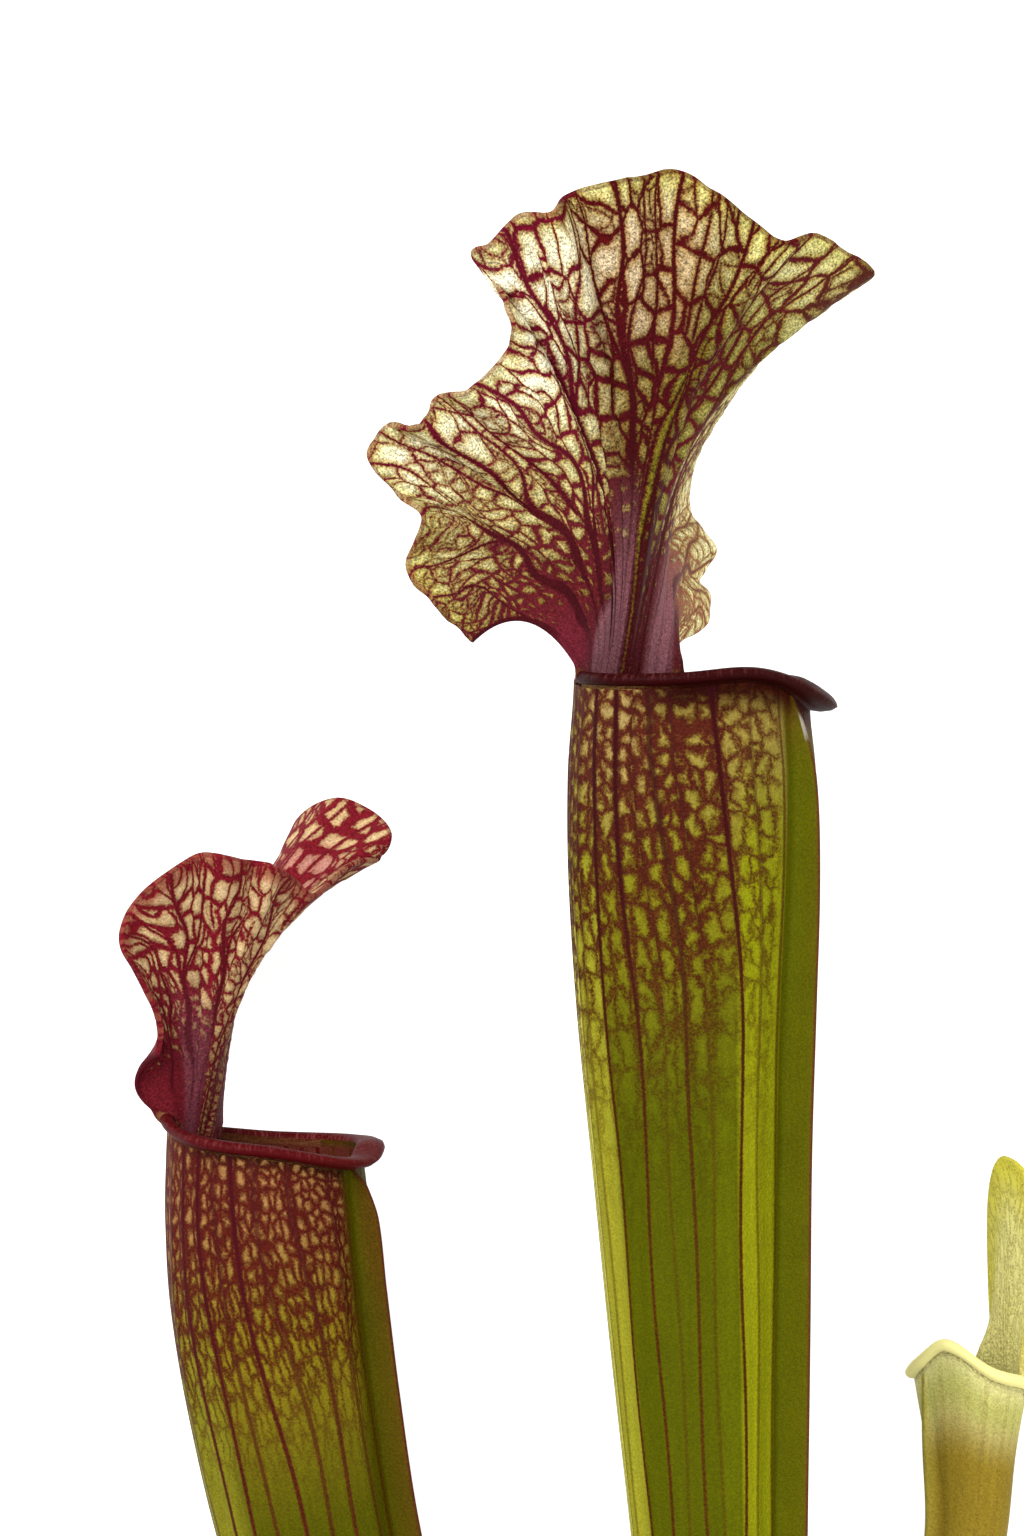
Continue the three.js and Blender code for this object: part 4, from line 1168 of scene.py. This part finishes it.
def skin_material(spec):
    """The leaf's skin: its ground colour, the hood's net, and the tube's lines and net."""
    shader = Shader(spec["name"] + "_skin")
    place = shader.place()
    names = ("ray", "gap", "out", "rest", "hood", "net")
    ray, gap, out, rest, hood, net = (shader.read(name) for name in names)
    flesh, stain = shader.read("flesh", "Color"), shader.read("stain", "Color")
    wander = noise(place, 0.5, 3.0, 0.6)
    grain = noise(place, 2.2, 2.0, 0.6)
    fine = noise(place, 3.2, 1.0, 0.5)

    # The hood's net, with ragged borders and fine cracks in the cells
    vein, main, draw, cells = hood_net(shader, spec)
    ragged = grain * 0.6 - 0.3
    hood_mask = (vein + ragged).ramp(-0.14, 0.26, 1.0, 0.0)
    crack = cell_edge(scaled(cells, CRACK_CELLS)).ramp(0.015, 0.1, spec["cracks"], 0.0)
    crack = crack * wander.ramp(0.4, 0.62)
    hood_mask = most(hood_mask, most(crack, rest.ramp(0.1, 0.45, 0.6, 0.0)))

    # The tube's lines, ragged where the net is strong
    off = abs(ray - maths("ROUND", ray)) * gap
    top = net * net
    reach = top * (spec["line_top"] - spec["line_low"]) + spec["line_low"]
    soft = (grain - 0.5) * (net * 0.4 + 0.16) + off
    line = (soft / reach).ramp(0.3, 1.0, 1.0, 0.0) * shader.read("weight") * spec["lines"]

    # The net of the tube's upper part
    sector = maths("FLOOR", ray)
    inside = (ray - sector - 0.5) * gap
    x = inside / spec["patch_width"] + wander + sector * SECTOR_STEP[0]
    stretch = spec["patch_stretch"]
    y = maths("LOGARITHM", out / stretch + 1.0, math.e) * (stretch / spec["patch_length"])
    y = y + sector * SECTOR_STEP[1] + noise(moved(place, (9, 5, 21)), 0.5, 1.0)
    patches = vector(x, y)
    from_middle = from_cell(patches)
    rounded = from_middle * -0.7 + (net * -0.08 + 0.66)
    width = top * 0.1 - 0.05 + (cell_draw(from_middle) - 0.5) * 0.05 + off.ramp(0.3, 1.4, 0.1, 0.0) * net
    fuzzy = least(cell_edge(patches), rounded) - width + (grain - 0.5) * 0.12 + (fine - 0.5) * 0.26
    mesh = fuzzy.ramp(-0.03, net * spec["soft"] + 0.13, 1.0, 0.0) * net.ramp(0.02, 0.8, 0.0, 0.96)
    mask = blend(hood, most(line, mesh), hood_mask)

    # The darker middles of the main veins and lines
    main_dark = (main + ragged).ramp(-0.3, 0.1, 1.0, 0.0) * out.ramp(10, 56, 0.85, 0.3)
    main_dark = main_dark * shader.read("flood").ramp(0.55, 0.95, 1.0, 0.4)
    dark = blend(hood, line * net, main_dark)

    # Speckle and streaks, and an olive halo along the veins, which is partly painted shade in the dips
    # between the cells
    speckle = (fine * 0.6 + grain * 0.4).ramp(0.3, 0.7)
    streak = noise(vector(sector * SECTOR_STEP[0] + inside, out * 0.06), 1.6, 2.0)
    hood_shade = (speckle * spec["speckle"] + (1 - 0.55 * spec["speckle"])) * (draw * 0.24 + 0.88)
    tube_shade = speckle * 0.34 + 0.66 + streak * 0.34
    flesh = shaded(flesh, blend(hood, tube_shade, hood_shade))
    # Painted shade: flesh darkened towards the cells' edges, with an olive tint
    tube_halo = blend(net, 1.0, fuzzy.ramp(0.1, 0.4))
    halo = blend(hood, tube_halo, vein.ramp(0.0, 1.0))
    olive = mix(1.0, flesh, HALO_TINT, "MULTIPLY")
    flesh = mix(halo * spec["halo"] + (1 - spec["halo"]), olive, flesh)
    stain = shaded(stain, speckle * 0.8 + 0.6)
    stain = mix(dark * 0.8, stain, colour4(*spec["vein_dark"]))
    colour = shaded(mix(mask, flesh, stain), noise(place, 0.12, 2.0) * 0.2 + 0.9)
    shader.set("Subsurface Weight", 0.04)
    shader.set("Subsurface Radius", (0.0015, 0.001, 0.0004))
    height = mask * -0.5 + speckle * 0.5
    return shader.done(colour, grain * 0.25 + 0.4, 0.02, height, 0.0003, 0.6)


def lip_material(spec):
    """The wet rolled lip, with a painted highlight along the top of its roll."""
    shader = Shader(spec["name"] + "_lip")
    around = shader.read("around")
    dark, light, tip = (colour4(*colour) for colour in spec["lip_colours"])
    grain = noise(shader.place(), 2.4, 3.0, 0.65)
    ticks = noise(vector(shader.read("ray") * 3.0, around), 1.6, 1.0).ramp(0.52, 0.7)
    # Painted highlight: the light colour on the top of the roll, partly pale hair ticks and grain
    top = around.ramp(0.25, 0.6) * most(ticks, grain.ramp(0.5, 0.72))
    base = mix(shader.read("spout") * 0.8, dark, tip)
    return shader.done(mix(top * 0.4, base, light), 0.45, 0.03, grain, 0.0003, 0.4)


for spec in (TALL, LEFT, RIGHT):
    name = spec["name"]
    materials = (skin_material(spec), lip_material(spec))
    piece = make_object(name + "_leaf", pitcher(spec), materials)
    hood_relief(spec).apply(piece)
    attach(piece, "root")
    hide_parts(name)

# Rhizome and roots

BRACT_SHARES = np.linspace(-1, 1, 9)


def seeded_draws(seed):
    """The same list of draws on every run."""
    state = seed
    while True:
        state = state * 48271 % 2147483647
        yield state / 2147483647


def stock(skin):
    """The ringed stock along X, with scar ridges, knobs and wrinkles."""
    along = np.linspace(0, 1, STOCK_SLICES + 1)[:, None]
    turn = np.linspace(0, 2 * math.pi, STOCK_SIDES, endpoint=False)[None, :]
    bulge = np.sqrt(np.sin(math.pi * (0.04 + 0.92 * along)))
    phase = 2 * math.pi * RHIZOME_RINGS * along + 0.5 * np.sin(2 * turn + 5 * along)
    ring = RING_HEIGHT * (np.sin(phase) + 0.3 * np.sin(2 * phase + 1.1) + 0.1 * np.sin(6 * phase))
    knob = KNOB_HEIGHT * np.sin(3 * turn + 9 * along)
    knob = knob + 0.3 * np.sin(7 * turn + 13 * along) * np.sin(31 * along - 3 * turn)
    wrinkle = 0.12 * np.sin(23 * turn + 4 * np.sin(40 * along))
    wrinkle = wrinkle + 0.08 * np.sin(170 * along + 3 * np.sin(5 * turn))
    radius = (RHIZOME_RADIUS + ring + knob + wrinkle) * bulge
    x = RHIZOME_SHIFT + (along - 0.5) * RHIZOME_LENGTH + 0 * turn
    y = radius * np.cos(turn) - RHIZOME_BEND * (1 - np.cos(2.4 * (along - 0.5)))
    z = RHIZOME_AXIS_HEIGHT + radius * np.sin(turn)
    points = rest_on_floor(np.stack([x, y, z], -1), 0.5)
    rows = skin.add(points, ridge=ring / RING_HEIGHT + 0 * turn, along=0)
    skin.tube(rows)


def sweep(skin, path, radius, sides, along, slot):
    """A closed round body along a path."""
    ahead = unit(np.gradient(path, axis=0))
    across = unit(np.cross(ahead, (0, 0, 1)))
    up = np.cross(across, ahead)
    turn = np.linspace(0, 2 * math.pi, sides, endpoint=False)
    ring = across[:, None] * np.cos(turn)[None, :, None] + up[:, None] * np.sin(turn)[None, :, None]
    points = path[:, None] + ring * radius[:, None, None]
    points[..., 2] = np.maximum(points[..., 2], 0.02)
    rows = skin.add(points, ridge=0, along=np.broadcast_to(along[:, None], points.shape[:2]))
    skin.tube(rows, flip=True, slot=slot)


def root(skin, start, heading, length, radius, sway, draw):
    """A root that leaves the stock, comes down to the floor and wanders along it, with its rootlets."""
    along = np.linspace(0, 1, ROOT_STEPS + 1)
    turn = heading + sway * np.sin(5.5 * along)
    bend = next(draw) * 6
    thick = radius * (1 - ROOT_THINNING * along) * (1 + 0.07 * np.sin(47 * along + bend))
    wobble = 0.9 * np.sin(21 * along + bend) * smooth(along / 0.3)
    x = start[0] + length * along * np.cos(turn) - wobble * np.sin(turn)
    y = start[1] + length * along * np.sin(turn) + wobble * np.cos(turn)
    lift = 0.5 + 0.5 * np.sin(16 * along + 2 * bend)
    z = lerp(start[2], 0.97 * thick + 0.7 * lift * rises(along, 0.3, 0.2), smooth(along / 0.3))
    path = np.stack([x, y, z], -1)
    sweep(skin, path, thick, ROOT_SIDES, along, 1)
    for k in range(ROOTLETS_PER_ROOT):
        place = int(ROOT_STEPS * (0.16 + 0.8 * (k + next(draw)) / ROOTLETS_PER_ROOT))
        side = 1 if k % 2 else -1
        way = turn[place] + side * (0.6 + 0.7 * next(draw))
        reach = (5 + 10 * next(draw)) * (1.1 - 0.6 * along[place])
        share = np.linspace(0, 1, ROOTLET_STEPS + 1)
        curl = way + side * (next(draw) - 0.6) * share * 1.4 + 0.25 * np.sin(9 * share + k)
        fine = 0.3 * (1 - 0.7 * share) * (0.7 + 0.5 * next(draw))
        step = np.stack([np.cos(curl), np.sin(curl)], -1) * reach / ROOTLET_STEPS
        flat = path[place, :2] + np.cumsum(step, axis=0) - step[0]
        height = fine + 0.25 * np.abs(np.sin(7 * share + k)) * share
        height = lerp(path[place, 2], height, smooth(share / 0.4))
        rootlet = np.concatenate([flat, height[:, None]], axis=1)
        sweep(skin, rootlet, fine, ROOTLET_SIDES, 0.45 + 0.5 * share, 1)


def bract(skin, spec, angle, first, last):
    """A dry pointed sheath that hugs the foot of a tube."""
    share = np.linspace(0, 1, BRACT_STEPS + 1)
    at = frame_rows(spec, lerp(first, last, share))
    half = math.radians(BRACT_DEGREES) * np.sqrt(1 - share**2.4) + 0.03
    turn = angle + half[:, None] * BRACT_SHARES
    fold = 0.25 * np.cos(3 * BRACT_SHARES)[None, :]
    lift = (0.5 + 1.5 * share**3)[:, None] + fold
    outer = ring_point(at, turn, at["radius"][:, None] + lift)
    inner = ring_point(at, turn, at["radius"][:, None] + lift - BRACT_THICKNESS)
    around = np.concatenate([outer, inner[:, ::-1]], axis=1)
    rows = skin.add(around, ridge=0, along=np.broadcast_to(share[:, None], around.shape[:2]))
    skin.tube(rows, flip=True, slot=2)


def rootstock():
    skin = Skin(("ridge", "along"))
    stock(skin)
    draw = seeded_draws(ROOT_SEED)
    details = seeded_draws(ROOT_SEED + 1)
    for i in range(ROOT_COUNT):
        share = i / (ROOT_COUNT - 1)
        start = (RHIZOME_SHIFT + (share - 0.5) * 0.82 * RHIZOME_LENGTH, -2.5, 3.2 + 3 * next(draw))
        heading = math.radians(-90 + (share - 0.5) * ROOT_FAN_DEGREES + 14 * (next(draw) - 0.5))
        length = ROOT_LENGTH + ROOT_LENGTH_SPREAD * next(draw)
        radius = ROOT_RADIUS + ROOT_RADIUS_SPREAD * next(draw)
        sway = 0.5 * (next(draw) - 0.5)
        root(skin, start, heading, length, radius, sway, details)
    for spec, last in ((TALL, 1.1), (LEFT, 1.0), (RIGHT, 0.9)):
        for k in range(BRACTS_PER_LEAF):
            angle = 2 * math.pi / BRACTS_PER_LEAF * (k + 0.5 + 0.3 * next(details))
            bract(skin, spec, angle, 0.1, last * (0.75 + 0.25 * next(details)))
    return skin


def stock_material():
    """Dark bark with paler ridges and fibres."""
    shader = Shader("rhizome_bark")
    place, ridge = shader.place(), shader.read("ridge")
    grain = noise(place, 0.9, 4.0, 0.65)
    fibre = noise(stretched(place, (0.5, 3.0, 3.0)), 1.2, 3.0, 0.6)
    colour = mix(grain, colour4(70, 40, 24), colour4(140, 98, 60))
    colour = mix(ridge.ramp(0.2, 1.2, 0.0, 0.6), colour, colour4(176, 138, 92))
    colour = mix(ridge.ramp(-1.1, -0.3, 0.6, 0.0), colour, colour4(46, 26, 18))
    colour = shaded(colour, fibre * 0.7 + 0.65)
    return shader.done(colour, grain * 0.2 + 0.68, 0.3, grain + fibre, 0.0008, 0.7)


def root_material():
    """Brown roots that pale towards their growing tips."""
    shader = Shader("root_skin")
    place = shader.place()
    grain = noise(place, 1.4, 3.0, 0.6)
    fine = noise(place, 5.0, 2.0, 0.6)
    colour = mix(grain, colour4(112, 72, 42), colour4(182, 136, 84))
    tip = (grain * 0.3 + shader.read("along")).ramp(0.85, 1.2)
    colour = mix(tip, colour, colour4(238, 222, 176))
    return shader.done(shaded(colour, fine * 0.6 + 0.7), 0.7, 0.3, fine, 0.0004, 0.6)


def bract_material():
    """Dry papery sheaths with lengthwise veins."""
    shader = Shader("bract_paper")
    fibre = noise(stretched(shader.place(), (4.0, 0.4, 4.0)), 1.0, 3.0, 0.6)
    colour = mix(fibre, colour4(126, 82, 44), colour4(206, 164, 104))
    colour = mix(shader.read("along").ramp(0.5, 1.0, 0.0, 0.6), colour, colour4(92, 52, 30))
    return shader.done(colour, 0.65, 0.3, fibre, 0.0005, 0.7)


stock_materials = (stock_material(), root_material(), bract_material())
rootstock_piece = make_object("rhizome_and_roots", rootstock(), stock_materials)
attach(rootstock_piece, "root")
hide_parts("rhizome_with_roots")


# Floor, lights and camera


FLOOR_SIDE = 8.0
FLOOR_DEPTH = 0.0004

floor_shader = Shader("pale_floor")
floor_shader.set("Base Color", (0.4, 0.4, 0.4, 1))
floor_shader.set("Roughness", 0.6)
floor_shader.set("Emission Color", (1, 1, 1, 1))
floor_shader.set("Emission Strength", 0.8)
bpy.ops.mesh.primitive_plane_add(size=FLOOR_SIDE, location=(0, 0, -FLOOR_DEPTH))
floor = bpy.context.object
floor.name = "studio_floor"
floor.data.materials.append(floor_shader.material)


def area_light(name, place, target, size, power):
    data = bpy.data.lights.new(name, "AREA")
    data.shape = "DISK"
    data.size = size
    data.energy = power
    light = bpy.data.objects.new(name, data)
    light.location = place
    light.rotation_euler = (Vector(target) - Vector(place)).to_track_quat("-Z", "Y").to_euler()
    bpy.context.scene.collection.objects.link(light)


middle_of_plant = (-0.02, 0.2, 0.03)
area_light("key", (-0.7, 0.75, 1.2), middle_of_plant, 1.1, 32)
area_light("fill", (1.1, 0.1, 1.0), middle_of_plant, 1.4, 12)

world = bpy.data.worlds.new("studio")
world.use_nodes = True
background = world.node_tree.nodes["Background"]
background.inputs["Color"].default_value = (1, 1, 1, 1)
background.inputs["Strength"].default_value = 1.05
bpy.context.scene.world = world
bpy.context.scene.view_settings.view_transform = "Standard"

# The photograph's frame: its pixels for each millimetre, and the pixel above the origin
PHOTO_SIZE = (1024, 1536)
PIXELS_PER_MM = 6.8
ORIGIN_PIXEL = (730, 2530)
SUBJECT_HEIGHT = 47
CAMERA_DISTANCE = 2.4
SENSOR = 36

camera_data = bpy.data.cameras.new("camera")
camera_data.sensor_width = SENSOR
camera_data.lens = SENSOR * CAMERA_DISTANCE / (PHOTO_SIZE[1] / PIXELS_PER_MM * MM)
camera = bpy.data.objects.new("camera", camera_data)
camera.location = (
    (PHOTO_SIZE[0] / 2 - ORIGIN_PIXEL[0]) / PIXELS_PER_MM * MM,
    (ORIGIN_PIXEL[1] - PHOTO_SIZE[1] / 2) / PIXELS_PER_MM * MM,
    SUBJECT_HEIGHT * MM + CAMERA_DISTANCE,
)
bpy.context.scene.collection.objects.link(camera)
bpy.context.scene.camera = camera
